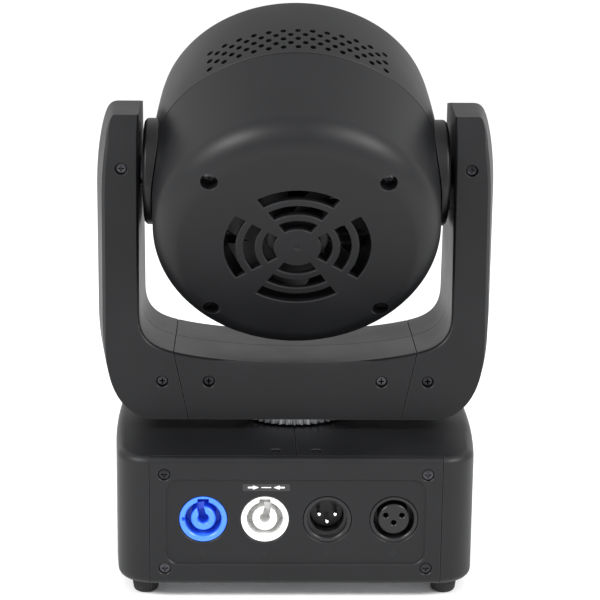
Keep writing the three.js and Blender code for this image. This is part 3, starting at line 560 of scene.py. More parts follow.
def circuit_board():
    """Solder mask over copper tracks, which show as slightly raised lighter lines."""
    material, tree, shader = new_material("board_green")
    coordinates = tree.nodes.new("ShaderNodeTexCoord")
    tracks = tree.nodes.new("ShaderNodeTexBrick")
    tracks.inputs["Scale"].default_value = 140
    tracks.inputs["Mortar Size"].default_value = 0.06
    tree.links.new(coordinates.outputs["Object"], tracks.inputs["Vector"])
    lines = ramp(tree, tracks.outputs["Fac"], [(0.0, 0.0), (1.0, 1.0)])
    colour = mixed(tree, lines, (0.012, 0.085, 0.03), (0.03, 0.2, 0.07))
    tree.links.new(colour, shader.inputs["Base Color"])
    shader.inputs["Roughness"].default_value = 0.35
    bumped(tree, shader, [(lines, 0.3, 0.00004)])
    return material


def lens_material():
    """Clear moulded lenses, very slightly frosted by fine ripples."""
    material, tree, shader = new_material("lens_clear")
    ripples = noise(tree, 1500, 2)
    tree.links.new(ramp(tree, ripples, [(0.3, 0.03), (0.7, 0.09)]), shader.inputs["Roughness"])
    tint = ramp(tree, noise(tree, 40, 2), [(0.3, (0.93, 0.95, 0.97)), (0.7, (0.98, 0.99, 1.0))])
    tree.links.new(tint, shader.inputs["Base Color"])
    shader.inputs["Transmission Weight"].default_value = 0.9
    shader.inputs["IOR"].default_value = 1.49
    bumped(tree, shader, [(ripples, 0.1, 0.00002)])
    return material


def display_glass():
    """A dark window over a dot display whose unlit dots are just visible."""
    material, tree, shader = new_material("display_glass")
    coordinates = tree.nodes.new("ShaderNodeTexCoord")
    dots = tree.nodes.new("ShaderNodeTexVoronoi")
    dots.inputs["Scale"].default_value = 900
    dots.inputs["Randomness"].default_value = 0.0
    tree.links.new(coordinates.outputs["Object"], dots.inputs["Vector"])
    dim = ramp(tree, dots.outputs["Distance"], [(0.25, (0.016, 0.019, 0.024)), (0.4, (0.008, 0.009, 0.012))])
    tree.links.new(dim, shader.inputs["Base Color"])
    smears = noise(tree, 90, 4)
    tree.links.new(ramp(tree, smears, [(0.35, 0.06), (0.7, 0.16)]), shader.inputs["Roughness"])
    bumped(tree, shader, [(smears, 0.03, 0.00002)])
    return material


# The third colour of each moulded finish is a painted sheen on its edges.
BLACK = moulded("shell_plastic", (0.0030, 0.0032, 0.0038), (0.0048, 0.0050, 0.0058),
                (0.030, 0.030, 0.032), (0.42, 0.50))
SOCKET_BLACK = moulded("socket_plastic", (0.008, 0.008, 0.009), (0.012, 0.012, 0.013),
                       (0.030, 0.030, 0.032), (0.30, 0.38), grain=3400.0, grain_depth=0.00002)
RUBBER = moulded("foot_rubber", (0.010, 0.010, 0.011), (0.018, 0.018, 0.019),
                 (0.035, 0.035, 0.036), (0.65, 0.8), grain=1800.0, grain_depth=0.00008)
BUTTON_RUBBER = moulded("button_rubber", (0.018, 0.018, 0.019), (0.026, 0.026, 0.028),
                        (0.05, 0.05, 0.052), (0.5, 0.62), grain=3000.0)
BELT_RUBBER = moulded("belt_rubber", (0.010, 0.010, 0.010), (0.016, 0.016, 0.016),
                      (0.03, 0.03, 0.03), (0.6, 0.75), grain=2200.0)
FAN_PLASTIC = moulded("fan_plastic", (0.006, 0.006, 0.007), (0.010, 0.010, 0.011),
                      (0.02, 0.02, 0.02), (0.35, 0.45), grain=3000.0, grain_depth=0.00002)
SCREW_BLACK = metal("screw_oxide", (0.025, 0.025, 0.028), (0.060, 0.060, 0.066), (0.22, 0.38))
SHEET_STEEL = metal("sheet_steel", (0.42, 0.43, 0.45), (0.55, 0.56, 0.58), (0.28, 0.46), (1, 14, 14))
MOTOR_STEEL = metal("motor_steel", (0.12, 0.12, 0.13), (0.2, 0.2, 0.21), (0.35, 0.55), (14, 14, 1))
BRIGHT = metal("bright_steel", (0.62, 0.63, 0.65), (0.80, 0.81, 0.83), (0.10, 0.22))
ALUMINIUM = metal("aluminium", (0.60, 0.61, 0.62), (0.72, 0.73, 0.74), (0.26, 0.42), (1, 1, 18))
SHAFT_STEEL = metal("shaft_steel", (0.05, 0.05, 0.055), (0.12, 0.12, 0.13), (0.14, 0.26), (20, 1, 1))
BLUE = glossy("socket_blue", (0.030, 0.145, 0.78), (0.045, 0.185, 0.90), (0.30, 0.40))
WHITE = glossy("socket_white", (0.80, 0.80, 0.79), (0.90, 0.90, 0.89), (0.30, 0.40))
BOARD_WHITE = glossy("board_white", (0.72, 0.72, 0.70), (0.82, 0.82, 0.80), (0.3, 0.42))
LED_YELLOW = glossy("led_phosphor", (0.70, 0.55, 0.10), (0.82, 0.66, 0.16), (0.35, 0.5))
LABEL_BLACK = glossy("label_film", (0.004, 0.004, 0.005), (0.006, 0.006, 0.007), (0.25, 0.35))
LABEL_INK = glossy("label_ink", (0.75, 0.75, 0.75), (0.85, 0.85, 0.85), (0.4, 0.5))
BOARD_GREEN = circuit_board()
LENS = lens_material()
GLASS = display_glass()

# --------------------------------------------------------------------------------- screws


def cross_screw(radius=2.7, height=1.7, shank=1.4, length=8.0):
    """A domed cross-head screw along +Z, the top of its head at z = 0."""
    dome = 0.35
    crown = [(radius * math.cos(math.radians(a)), -dome + dome * math.sin(math.radians(a)))
             for a in (0, 25, 50, 75)]
    body = turned([(shank, -length), (shank, -height), (radius, -height), *crown], 32)
    narrow = 0.42
    reach = radius * 0.62
    depth = 1.1
    blades = []
    for along, across in ((reach, narrow), (narrow, reach)):
        blades.append(loft([
            [Vector((x * along * 0.6, y * across * 0.6, -depth)) for x, y in CORNERS],
            [Vector((x * along, y * across, 0.5)) for x, y in CORNERS],
        ]))
    return cut(body, *blades)


CORNERS = [(-1, -1), (1, -1), (1, 1), (-1, 1)]


def add_screw(name, place, body, stands_for=(), **sizes):
    return show(name, cross_screw(**sizes), place, body, SCREW_BLACK, stands_for)


# ----------------------------------------------------------------------------- the base


def flared(profile_radius, low, high, flare=0.4, segments=32, at=(0.0, 0.0)):
    """A round cutter along +Z that leaves a small chamfer where it meets the face at `high`."""
    rings = [(profile_radius, low), (profile_radius, high - flare), (profile_radius + flare, high),
             (profile_radius + flare, high + 3)]
    return loft([circle(radius, z, segments, at) for radius, z in rings])


def base_outline(amount=0.0):
    """The base in plan: straight ends, bowed sides and rounded corners."""
    side = BASE_SIDE_RADIUS - amount
    corner = BASE_CORNER - amount
    side_centre = BASE_HALF_WIDTH - BASE_SIDE_RADIUS
    corner_y = SHELL_HIGH.y - BASE_CORNER
    turn = math.asin(corner_y / (BASE_SIDE_RADIUS - BASE_CORNER))
    corner_x = side_centre + (BASE_SIDE_RADIUS - BASE_CORNER) * math.cos(turn)
    bow = math.degrees(turn)
    right = arc((corner_x, -corner_y), corner, -90, -bow, 12)
    right += arc((side_centre, 0), side, -bow, bow, 24)[1:-1]
    right += arc((corner_x, corner_y), corner, bow, 90, 12)
    return right + [(-x, -y) for x, y in right]


def base_hull():
    outer = slab(base_outline(), edged(BASE_BOTTOM, BASE_TOP, SHELL_EDGE, 5))
    hollow = slab(base_outline(WALL), edged(BASE_BOTTOM + WALL, BASE_TOP - WALL, SHELL_EDGE - 1, 2))
    lip = 8
    opening = slab(base_outline(lip), [(BASE_BOTTOM - 1, 0), (BASE_BOTTOM + 2 * WALL, 0)])
    shaft_hole = turned([(14.5, BASE_TOP - 2 * WALL), (14.5, BASE_TOP + 1)], 64)
    return cut(outer, hollow, opening, shaft_hole)


def base_shell(side):
    far = 200
    seam = 0.2
    x0, x1 = (seam, far) if side > 0 else (-far, -seam)
    body = kept(base_hull(), block(x0, x1, -far, far, 0, far))
    gap = PANEL_HALF_WIDTH + GAP
    rear = block(-gap, gap, PANEL_BACK - GAP, far, 0, far)
    front = block(-gap, gap, -far, -PANEL_BACK + GAP, 0, far)
    seat = shifted(flared(2.6, BASE_TOP - 1.6, BASE_TOP), side * 10, 67)
    return cut(body, rear, front, seat)


def panel_blank():
    """The moulded panel on the +Y side with its recess and screw seats."""
    low = BASE_BOTTOM + GAP
    high = BASE_TOP - GAP
    face = PANEL_FACE
    section = (
        [(PANEL_BACK, low)]
        + arc((face - PANEL_ROUND, low + PANEL_ROUND), PANEL_ROUND, -90, 0, 8)
        + arc((face - PANEL_ROUND, high - PANEL_ROUND), PANEL_ROUND, 0, 90, 8)
        + [(PANEL_BACK, high)]
    )
    half = PANEL_HALF_WIDTH
    body = loft([[Vector((x, y, z)) for y, z in section] for x in (-half, half)])
    rim = 0.5
    recess = rounded_rectangle(
        -RECESS_HALF_WIDTH, RECESS_HALF_WIDTH, RECESS_BOTTOM, RECESS_TOP, RECESS_CORNER, 12,
    )
    levels = [(face - RECESS_DEPTH, 0), (face - rim, 0), (face, -rim), (face + 2, -rim)]
    pocket = moved(slab(recess, levels), FACING_REAR)
    seats = [moved(flared(3, face - 1.9, face, 0.35), seat_place(x, z)) for x, z in PANEL_SCREWS]
    holes = [moved(turned([(1.7, PANEL_BACK - 1), (1.7, face)], 24), seat_place(x, z))
             for x, z in PANEL_SCREWS]
    return cut(body, pocket, joined(*seats), joined(*holes))


def seat_place(x, z):
    """Turns what was drawn along +Z to point along +Y at that place on the rear."""
    return Matrix.Translation((x, 0, z)) @ TO_Y


def rear_panel(sockets):
    holes = [moved(flared(SOCKET_HOLE, PANEL_BACK - 1, SOCKET_FACE, 0.3, 96), seat_place(s.x, s.z))
             for s in sockets]
    return cut(panel_blank(), joined(*holes))


def front_panel(buttons, window):
    low, high = window
    shape = rounded_rectangle(-high.x, -low.x, low.z, high.z, 2, 8)
    opening = moved(slab(shape, [
        (PANEL_BACK - 1, 0), (SOCKET_FACE - 0.5, 0), (SOCKET_FACE, -0.5), (PANEL_FACE + 1, -0.5),
    ]), FACING_REAR)
    holes = [moved(flared(4.5, PANEL_BACK - 1, SOCKET_FACE, 0.35), seat_place(-b.x, b.z))
             for b in buttons]
    return moved(cut(panel_blank(), opening, joined(*holes)), HALF_TURN)


def foot():
    """A rubber foot with ribs round its side and a rounded underside."""
    segments = 96
    shoulder = BASE_BOTTOM - GAP
    profile = [(3.6, 0.0), (4.8, 0.15), (5.7, 0.7), (6.1, 1.5), (6.9, shoulder - 0.5), (6.5, shoulder)]
    rings = []
    for radius, z in profile:
        ring = circle(radius, z, segments)
        if 1 < z < shoulder:
            for i, point in enumerate(ring):
                ribbed = 1 - 0.055 * (0.5 - 0.5 * math.cos(2 * math.pi * i * 24 / segments))
                point.x *= ribbed
                point.y *= ribbed
        rings.append(ring)
    neck = [circle(4.9, z, segments) for z in (shoulder, BASE_BOTTOM + WALL)]
    return loft(rings + neck)


def arrow(length, width, thickness):
    """A flat arrow along +Y, raised from z = 0."""
    head = length * 0.55
    stem = width * 0.18
    outline = [(-stem, 0), (stem, 0), (stem, length - head), (width / 2, length - head),
               (0, length), (-width / 2, length - head), (-stem, length - head)]
    return slab(outline, [(0, 0), (thickness, 0.08)])


def add_housing(sockets, buttons, window):
    for name, side in (("left", -1), ("right", 1)):
        show(f"base_shell_{name}_skin", base_shell(side), STAND, "base", BLACK,
             [f"base_shell_{name}"], bevel=0.25)
    show("rear_panel_skin", rear_panel(sockets), STAND, "base", BLACK,
         ["rear_panel"], bevel=0.0)
    show("front_panel_skin", front_panel(buttons, window), STAND, "base", BLACK,
         ["front_panel"])
    for end, side in product(("front", "rear"), ("left", "right")):
        node = f"foot_{end}_{side}"
        place = STAND @ Matrix.Translation((middle(node).x, middle(node).y, 0))
        show(f"{node}_skin", foot(), place, "base", RUBBER, [node], sharp=60)
    for number, spot in enumerate(PANEL_SCREWS, 1):
        rear = STAND @ Matrix.Translation((0, PANEL_FACE - 0.5, 0)) @ seat_place(*spot)
        add_screw(f"rear_screw_{number}", rear, "base", [f"rear_panel_screw_{number}"])
        front = STAND @ HALF_TURN @ Matrix.Translation((0, PANEL_FACE - 0.5, 0)) @ seat_place(*spot)
        add_screw(f"front_screw_{number}", front, "base")
    for name, x in (("left", -10), ("right", 10)):
        place = STAND @ Matrix.Translation((x, 67, BASE_TOP - 0.7))
        add_screw(f"roof_screw_{name}", place, "base", radius=2.3, height=0.8, length=2.5)


# ---------------------------------------------------------------------------- the sockets


def socket_blank(face_edge=0.5):
    """The flange behind the panel and the barrel that fills the panel's hole, along +Z."""
    radius = SOCKET_HOLE - GAP
    barrel = turned([
        (radius, 50), (radius, SOCKET_FACE - face_edge),
        (radius - face_edge * 0.3, SOCKET_FACE - face_edge * 0.3), (radius - face_edge, SOCKET_FACE),
    ], 128)
    plate = rounded_rectangle(-13, 13, -15, 15, 2)
    flange = slab(plate, [(71.5, 0), (PANEL_BACK - GAP, 0)])
    return added(barrel, flange)


def chamfered_prism(outline, low, high, flare):
    """A cutter with a small chamfer where it leaves the face at `high`."""
    return slab(outline, [(low, 0), (high - flare, 0), (high, -flare), (high + 3, -flare)])


def power_socket(side):
    """A locking mains socket: a deep ring with key slots round a core split like a C.
    Drawn along +Z with its top along -Y; its side key is towards `side` on X."""
    cavity = 9.0
    floor = 63.0
    core_radius = 6.0
    core_face = SOCKET_FACE - 1.0
    lean = math.radians(14) * side
    top_key = rounded_rectangle(-2.8, 2.8, -10.4, -6, 0.5, 4)
    side_key = rounded_rectangle(6, 10.4, -0.9, 0.9, 0.3, 4)
    if side < 0:
        side_key = [(-x, -y) for x, y in side_key]
    well = turned([(cavity, floor), (cavity, SOCKET_FACE - 0.5), (cavity + 0.5, SOCKET_FACE),
                   (cavity + 0.5, SOCKET_FACE + 3)], 128)
    ring = cut(
        socket_blank(0.7), well,
        chamfered_prism(top_key, floor, SOCKET_FACE, 0.3),
        chamfered_prism(side_key, floor, SOCKET_FACE, 0.3),
    )
    mouth = [(-1.8, -12), (1.8, -12), (1.8, 0), (-1.8, 0)]
    mouth = moved(chamfered_prism(mouth, 68, core_face, 0.25), Matrix.Rotation(lean, 4, "Z"))
    core = turned([(core_radius, floor - 1), (core_radius, core_face - 0.5),
                   (core_radius - 0.5, core_face)], 96)
    core = cut(core, flared(2.8, floor + 2, core_face, 0.3, 64), mouth)
    return added(ring, core)


PIN_SPOTS = [(-3.95, -1.9), (3.95, -1.9), (0.0, 1.9)]


def data_in_socket():
    """A stepped sleeve round the plug pins."""
    well = turned([(8.4, 62), (8.4, SOCKET_FACE - 5.5), (9.8, SOCKET_FACE - 5.0),
                   (9.8, SOCKET_FACE - 0.4), (10.2, SOCKET_FACE), (10.2, SOCKET_FACE + 3)], 128)
    return cut(socket_blank(0.5), well)


def data_pins():
    """Three round-nosed pins; the insert that holds them is made in add_sockets."""
    pins = []
    for x, y in PIN_SPOTS:
        nose = [(1.2 * math.cos(math.radians(a)), 74.3 + 1.2 * math.sin(math.radians(a)))
                for a in (0, 30, 60, 80)]
        pins.append(shifted(turned([(1.2, 65.2), *nose], 32), x, y))
    return joined(*pins)


def data_out_socket():
    """A sleeve and, inside it, the contact block with its three pin holes."""
    core = 7.6
    outer = turned([(10.0, 64), (10.0, SOCKET_FACE - 0.4), (10.4, SOCKET_FACE),
                    (10.4, SOCKET_FACE + 3)], 128)
    ring = cut(socket_blank(0.5), outer)
    face = SOCKET_FACE - 0.6
    block_body = turned([(core, 62), (core, face - 0.4), (core - 0.4, face)], 128)
    holes = [flared(1.35, 66, face, 0.3, 32, spot) for spot in PIN_SPOTS]
    return added(ring, cut(block_body, joined(*holes)))


def add_sockets():
    spots = {}
    for node in ("power_inlet", "power_outlet", "data_in_socket", "data_out_socket"):
        spots[node] = middle(node)
    blue = seat_place(spots["power_inlet"].x, spots["power_inlet"].z)
    show("power_inlet_body", power_socket(1), STAND @ blue, "base", BLUE,
         ["power_inlet"], sharp=40)
    white = seat_place(spots["power_outlet"].x, spots["power_outlet"].z)
    show("power_outlet_body", power_socket(-1), STAND @ white, "base", WHITE,
         ["power_outlet"], sharp=40)
    male = seat_place(spots["data_in_socket"].x, spots["data_in_socket"].z)
    show("data_in_body", data_in_socket(), STAND @ male, "base", SOCKET_BLACK,
         ["data_in_socket"], sharp=40)
    insert = turned([(8.1, 62.3), (8.1, 64.6), (7.8, 65)], 96)
    show("data_in_insert", insert, STAND @ male, "base", SOCKET_BLACK)
    show("data_in_contacts", data_pins(), STAND @ male, "base", BRIGHT,
         ["data_in_pins"])
    female = seat_place(spots["data_out_socket"].x, spots["data_out_socket"].z)
    show("data_out_body", data_out_socket(), STAND @ female, "base", SOCKET_BLACK,
         ["data_out_socket"], sharp=40)
    return list(spots.values())


def add_markings(sockets):
    """A plain label above the mains outlet, and raised arrows under the four sockets."""
    outlet = sockets[1]
    film = slab(rounded_rectangle(-11.6, 11.6, -1.9, 1.9, 0.5, 4), [(0, 0), (0.15, 0.05)])
    label_place = STAND @ Matrix.Translation((outlet.x - 0.6, SOCKET_FACE, outlet.z + 16.6)) @ TO_Y
    show("outlet_label", film, label_place, "base", LABEL_BLACK)
    ink = joined(*[
        moved(arrow(5.5, 2.2, 0.05), Matrix.Translation((x, 0, 0.13)) @ Matrix.Rotation(turn, 4, "Z"))
        for x, turn in ((9.0, math.pi / 2), (-9.0, -math.pi / 2))
    ] + [shifted(slab(rounded_rectangle(-2.4, 2.4, -0.22, 0.22, 0.15, 3),
                      [(0.13, 0), (0.18, 0.02)]))])
    show("outlet_label_ink", ink, label_place, "base", LABEL_INK)
    below = 17.2
    for number, (spot, turn) in enumerate(zip(sockets, (math.pi, 0, math.pi, 0)), 1):
        centre = Matrix.Translation((spot.x, SOCKET_FACE - 0.02, spot.z - below)) @ TO_Y
        place = STAND @ centre @ Matrix.Rotation(turn, 4, "Z") @ Matrix.Translation((0, -1.8, 0))
        show(f"socket_arrow_{number}", arrow(3.6, 3.0, 0.2), place, "base", BLACK)


# -------------------------------------------------------------------- front panel controls

BUTTON_NAMES = ["menu", "down", "up", "enter"]


def button_cap():
    """A rubber cap with a dished face and a collar, along +Z from its stem to its face."""
    radius = 4.0
    face = PANEL_FACE + 1.5
    rim = [(radius - 0.7 + 0.7 * math.cos(math.radians(a)), face - 0.7 + 0.7 * math.sin(math.radians(a)))
           for a in (0, 30, 60, 90)]
    return turned([
        (1.6, 67.6), (1.6, 73.8), (5.6, 73.8), (5.6, 74.7), (radius, 74.7), *rim,
        (2.6, face - 0.15), (1.2, face - 0.4),
    ], 64)


def display_window(low, high):
    outline = rounded_rectangle(-high.x + GAP, -low.x - GAP, low.z + GAP, high.z - GAP, 1.8, 8)
    glass = slab(outline, [(PANEL_BACK - 1, 0), (PANEL_FACE - 1.0, 0), (PANEL_FACE - 0.6, 0.4)])
    module = rounded_rectangle(-high.x - 2, -low.x + 2, low.z - 2, high.z + 2, 0.5, 2)
    body = added(glass, slab(module, [(70, 0), (PANEL_BACK - GAP, 0)]))
    return moved(moved(body, FACING_REAR), HALF_TURN)


def add_controls(buttons, window):
    for name, spot in zip(BUTTON_NAMES, buttons):
        place = STAND @ HALF_TURN @ seat_place(-spot.x, spot.z)
        show(f"button_{name}_cap", button_cap(), place, f"{name}_button",
             BUTTON_RUBBER, [f"button_{name}"])
    show("display_window", display_window(*window), STAND, "base", GLASS,
         ["display"])
    for number, (spot, turn) in enumerate(zip(buttons, (0.5, 1.0, 0.0, 1.5)), 1):
        centre = Matrix.Translation((-spot.x, SOCKET_FACE - 0.02, spot.z + 9)) @ TO_Y
        turned_place = centre @ Matrix.Rotation(math.pi * (turn + 1), 4, "Z")
        place = STAND @ HALF_TURN @ turned_place @ Matrix.Translation((0, -1.4, 0))
        show(f"button_arrow_{number}", arrow(2.8, 2.4, 0.2), place, "base", LABEL_INK)


# --------------------------------------------------------------------------------- yoke


def yoke_outline(amount=0.0):
    """The yoke's front elevation at its middle plane, without the channel between its arms:
    an anticlockwise loop of (x, z), each side moved in by an amount."""
    bottom = YOKE_BOTTOM + amount
    top = YOKE_TOP - amount
    half = YOKE_HALF_WIDTH - amount
    right = [(0, bottom), (half - 31, bottom)]
    foot = (half - 31, bottom)
    right += bezier(foot, (half - 11, bottom), (half, bottom + 16), (half, bottom + 50), 24)
    right += [(half, top - 45)]
    shoulder = (half - 4.5, top - 7)
    right += bezier((half, top - 45), (half, top - 27), (half - 2.3, top - 14), shoulder, 10)
    right += bezier(shoulder, (half - 5.7, top - 3.3), (half - 7.1, top), (half - 11.4, top), 10)
    right += [(half - 31, top), (0, top)]
    return right + [(-x, z) for x, z in reversed(right[1:-1])]


def channel_outline():
    """The channel between the arms, an anticlockwise loop of (x, z) open to the sky."""
    above = YOKE_TOP + 20
    right = bezier((0, YOKE_SADDLE), (23.3, YOKE_SADDLE), (42.7, 110.8), (58, 114), 14)
    right += bezier((58, 114), (70, 116.5), (YOKE_INNER, 120), (YOKE_INNER, 134), 14)
    right += [(YOKE_INNER, above)]
    return [(0, YOKE_SADDLE)] + right + [(-x, z) for x, z in reversed(right)]


def drawn_in(outline, amount_for):
    """The outline moved inwards by an amount that depends on the height."""
    points = [Vector(p) for p in outline]
    moved_points = []
    for i, point in enumerate(points):
        along = (points[(i + 1) % len(points)] - points[i - 1]).normalized()
        moved_points.append(point + Vector((-along.y, along.x)) * amount_for(point.y))
    return moved_points


def depth_at(z):
    """Half depth of the yoke at a height: the arms grow thinner towards their tops."""
    share = (z - YOKE_BOTTOM) / (YOKE_TOP - YOKE_BOTTOM)
    return YOKE_DEPTH_BOTTOM + (YOKE_DEPTH_TOP - YOKE_DEPTH_BOTTOM) * share


def yoke_blank(thinner):
    """The yoke without its channel: a ridge round its middle plane, drawn in towards both
    end faces, with a bevel round each face."""
    outline = yoke_outline(thinner)

    def draft(z):
        return interpolated(YOKE_DRAFT, z)

    def face(z):
        return draft(z) + interpolated(YOKE_CHAMFER, z)

    rings = []
    for sign, levels in ((-1, ((0, face), (YOKE_CHAMFER_DEPTH, draft))),
                         (1, ((YOKE_CHAMFER_DEPTH, draft), (0, face)))):
        for setback, amount_for in levels:
            rings.append([Vector((p.x, sign * (depth_at(p.y) - thinner - setback), p.y))
                          for p in drawn_in(outline, amount_for)])
    rings.insert(2, [Vector((x, 0, z)) for x, z in outline])
    return loft([list(reversed(ring)) for ring in rings])


def channel_cutter(grow, edge):
    """Cuts the channel. Its edge is a list of (distance from the end face, widening)."""
    rings = []
    for sign, order in ((-1, edge), (1, edge[::-1])):
        for distance, widening in order:
            outline = channel_outline()
            ring = inset(outline, [-grow - widening] * len(outline))
            rings.append([Vector((p.x, sign * (depth_at(p.y) - distance), p.y)) for p in ring])
    return loft([list(reversed(ring)) for ring in rings])


def leaning_faces(thinner):
    """What lies beyond the steeper upper part of the arms' front and rear faces."""
    low = FACE_BEND - 20
    high = YOKE_TOP + 10
    near = [depth_at(FACE_BEND) - thinner - FACE_LEAN * (z - FACE_BEND) for z in (low, high)]
    outline = [(-low, near[0]), (-low, 60), (-high, 60), (-high, near[1])]
    reach = YOKE_HALF_WIDTH + 5
    rear = moved(slab(outline, [(-reach, 0), (reach, 0)]), TO_X)
    front = moved(rear.copy(), HALF_TURN)
    return [rear, front]


def interpolated(pairs, at):
    pairs = sorted(pairs)
    for (a, first), (b, second) in zip(pairs, pairs[1:]):
        if a <= at <= b:
            return first + (second - first) * (at - a) / (b - a)
    return pairs[0][1] if at < pairs[0][0] else pairs[-1][1]


def crescent(end):
    """The cone that takes the crescent off the cross beam's upper edge at one end."""
    rim = 170
    drop = 5.0
    setback = 2.4
    depth = 14
    start = YOKE_DEPTH_BOTTOM - 2.4 - setback
    slope = drop / setback
    cone = turned([(rim - drop, start), (rim - drop + slope * depth, start + depth)], 512)
    place = Matrix.Translation((0, 0, YOKE_SADDLE - drop + rim)) @ TO_Y
    if end < 0:
        place = HALF_TURN @ place
    return moved(cone, place)


def seam_wedge(grow):
    """The part of the yoke between the two slanting seams, from front to rear."""
    low = YOKE_BOTTOM - 10
    high = YOKE_BOTTOM + 60
    foot_half = SEAM_FOOT + SEAM_LEAN * (low - YOKE_BOTTOM) + grow
    head_half = SEAM_FOOT + SEAM_LEAN * (high - YOKE_BOTTOM) + grow
    return loft([
        [Vector((x * foot_half, y * 70, low)) for x, y in CORNERS],
        [Vector((x * head_half, y * 70, high)) for x, y in CORNERS],
    ])


def screw_seats():
    """Flared seats for the cover screws, on both end faces and both sides."""
    seats = []
    for (x, z), side, end in product(YOKE_SCREWS, (-1, 1), (-1, 1)):
        face = depth_at(z)
        seat = moved(flared(3.0, face - 2.3, face, 0.35), seat_place(end * side * x, z))
        seats.append(moved(seat, HALF_TURN) if end < 0 else seat)
    return joined(*seats)


def yoke_shell():
    edge = [(-6.0, 1.5), (0.0, 1.5), (0.15, 1.2), (0.55, 0.75), (1.35, 0.12), (2.0, 0.0)]
    body = cut(yoke_blank(0), channel_cutter(0, edge), *leaning_faces(0))
    plain_edge = [(-6.0, 0.0), (2.0, 0.0)]
    hollow = cut(yoke_blank(WALL), channel_cutter(WALL, plain_edge), *leaning_faces(WALL))
    tilt_axis = Matrix.Translation((0, 0, TILT_Z)) @ TO_X
    shaft_hole = moved(turned([(8.5, -82.5), (8.5, 82.5)], 64), tilt_axis)
    pan_hole = turned([(14.5, YOKE_BOTTOM - 1), (14.5, YOKE_BOTTOM + 2 * WALL)], 64)
    return cut(body, hollow, crescent(-1), crescent(1), shaft_hole, pan_hole, screw_seats())


def add_yoke():
    shell = yoke_shell()
    far = 300
    seam = 0.2
    for end, way in (("front", -1), ("rear", 1)):
        y0, y1 = (seam, far) if way > 0 else (-far, -seam)
        half = kept(shell.copy(), block(-far, far, y0, y1, 0, far))
        centre = kept(half.copy(), seam_wedge(-seam))
        show(f"yoke_centre_{end}_skin", centre, STAND, "yoke", BLACK,
             [f"yoke_centre_cover_{end}"], bevel=0.2)
        arms = cut(half, seam_wedge(seam))
        for name, side in (("left", -1), ("right", 1)):
            x0, x1 = (0, far) if side > 0 else (-far, 0)
            arm = kept(arms.copy(), block(x0, x1, -far, far, 0, far))
            show(f"arm_{name}_{end}_skin", arm, STAND, "yoke", BLACK,
                 [f"arm_cover_{name}_{end}"], bevel=0.2)
        for number, (x, z) in enumerate(YOKE_SCREWS):
            for name, side in (("left", -1), ("right", 1)):
                upright = Matrix.Identity(4) if way > 0 else HALF_TURN
                seat = Matrix.Translation((0, depth_at(z) - 1.2, 0))
                place = upright @ seat @ seat_place(way * side * x, z)
                add_screw(f"yoke_screw_{end}_{name}_{number}", STAND @ place, "yoke", length=4.0)


def pan_ring():
    """A bright ring with rounded flutes round its side."""
    flutes = 48
    segments = flutes * 8
    outer = (RING_HIGH.x - RING_LOW.x) / 2
    rings = []
    low, high = RING_LOW.z, RING_HIGH.z
    for z, shrink in ((low, 0.5), (low + 0.4, 0), (high - 0.4, 0), (high, 0.5)):
        ring = circle(outer - shrink, z, segments)
        for i, point in enumerate(ring):
            radius = outer - shrink - 1.3 * abs(math.sin(math.pi * flutes * i / segments)) ** 1.5
            point.x *= radius / (outer - shrink)
            point.y *= radius / (outer - shrink)
        rings.append(ring)
    bore = [circle(22, RING_HIGH.z, segments), circle(22, RING_LOW.z, segments)]
    return loft(rings + bore, closed=True)


# --------------------------------------------------------------------------------- head


def barrel_radius(z):
    return HEAD_RADIUS - (HEAD_RADIUS - HEAD_FRONT_RADIUS) * (max(z, 0) / HEAD_FRONT) ** 1.8


def back_profile(thinner, steps):
    """From the flat back face round the fillet, then straight to the seam."""
    radius = HEAD_BACK_FILLET - thinner
    centre = (HEAD_BACK_RADIUS - HEAD_BACK_FILLET, HEAD_BACK_FILLET - HEAD_BACK)
    return arc(centre, radius, -90, 0, steps) + [(HEAD_RADIUS - thinner - 1.6, -19.0)]


def ring_sector(inner, outer, middle_angle, half_angle, steps=24):
    def run(radius, start, end):
        return arc((0, 0), radius, math.degrees(start), math.degrees(end), steps)
    start = middle_angle - half_angle
    end = middle_angle + half_angle
    return run(outer, start, end) + run(inner, end, start)


def grille_cutters():
    cutters = []
    for (inner, outer), quarter in product(GRILLE_RINGS, range(4)):
        outline = ring_sector(inner, outer, quarter * math.pi / 2, GRILLE_HALF_ANGLE)
        cutters.append(slab(outline, [(-HEAD_BACK - 2, -0.4), (-HEAD_BACK, -0.4),
                                      (-HEAD_BACK + 0.4, 0), (-HEAD_BACK + 2 * WALL, 0)]))
    return joined(*cutters)


def screw_well(x, y):
    """A deep counterbore with a small chamfer, cut from behind."""
    radius = 4.25
    rings = [(radius + 0.45, -HEAD_BACK - 2), (radius + 0.45, -HEAD_BACK), (radius, -HEAD_BACK + 0.45),
             (radius, -HEAD_BACK + 6)]
    return shifted(turned(rings, 48), x, y)


WELL_SPOTS = [(x * HEAD_SCREW_X, y * HEAD_SCREW_Y) for x, y in CORNERS]


def tilt_hole():
    return moved(turned([(9, -80), (9, 80)], 48), TO_X)


def rear_cover():
    seam = 0.25
    outer = back_profile(0, 18) + [(HEAD_RADIUS, -seam - 0.35), (HEAD_RADIUS - 0.35, -seam)]
    inner = back_profile(WALL, 12) + [(HEAD_RADIUS - WALL, -seam)]
    body = turned(outer + inner[::-1], 192)
    dimple = turned([(1.6, -HEAD_BACK - 1), (1.6, -HEAD_BACK), (0.7, -HEAD_BACK + 0.6)], 32)
    wells = joined(*[screw_well(x, y) for x, y in WELL_SPOTS])
    cups = [turned([(6.0, -HEAD_BACK + 1.5), (6.0, -HEAD_BACK + 8.5)], 32) for _ in WELL_SPOTS]
    cups = [shifted(cup, x, y) for cup, (x, y) in zip(cups, WELL_SPOTS)]
    core = turned(back_profile(0.5, 18) + [(HEAD_RADIUS - 0.5, -seam)], 192)
    body = added(body, kept(joined(*cups), core))
    return cut(body, grille_cutters(), wells, dimple, tilt_hole())


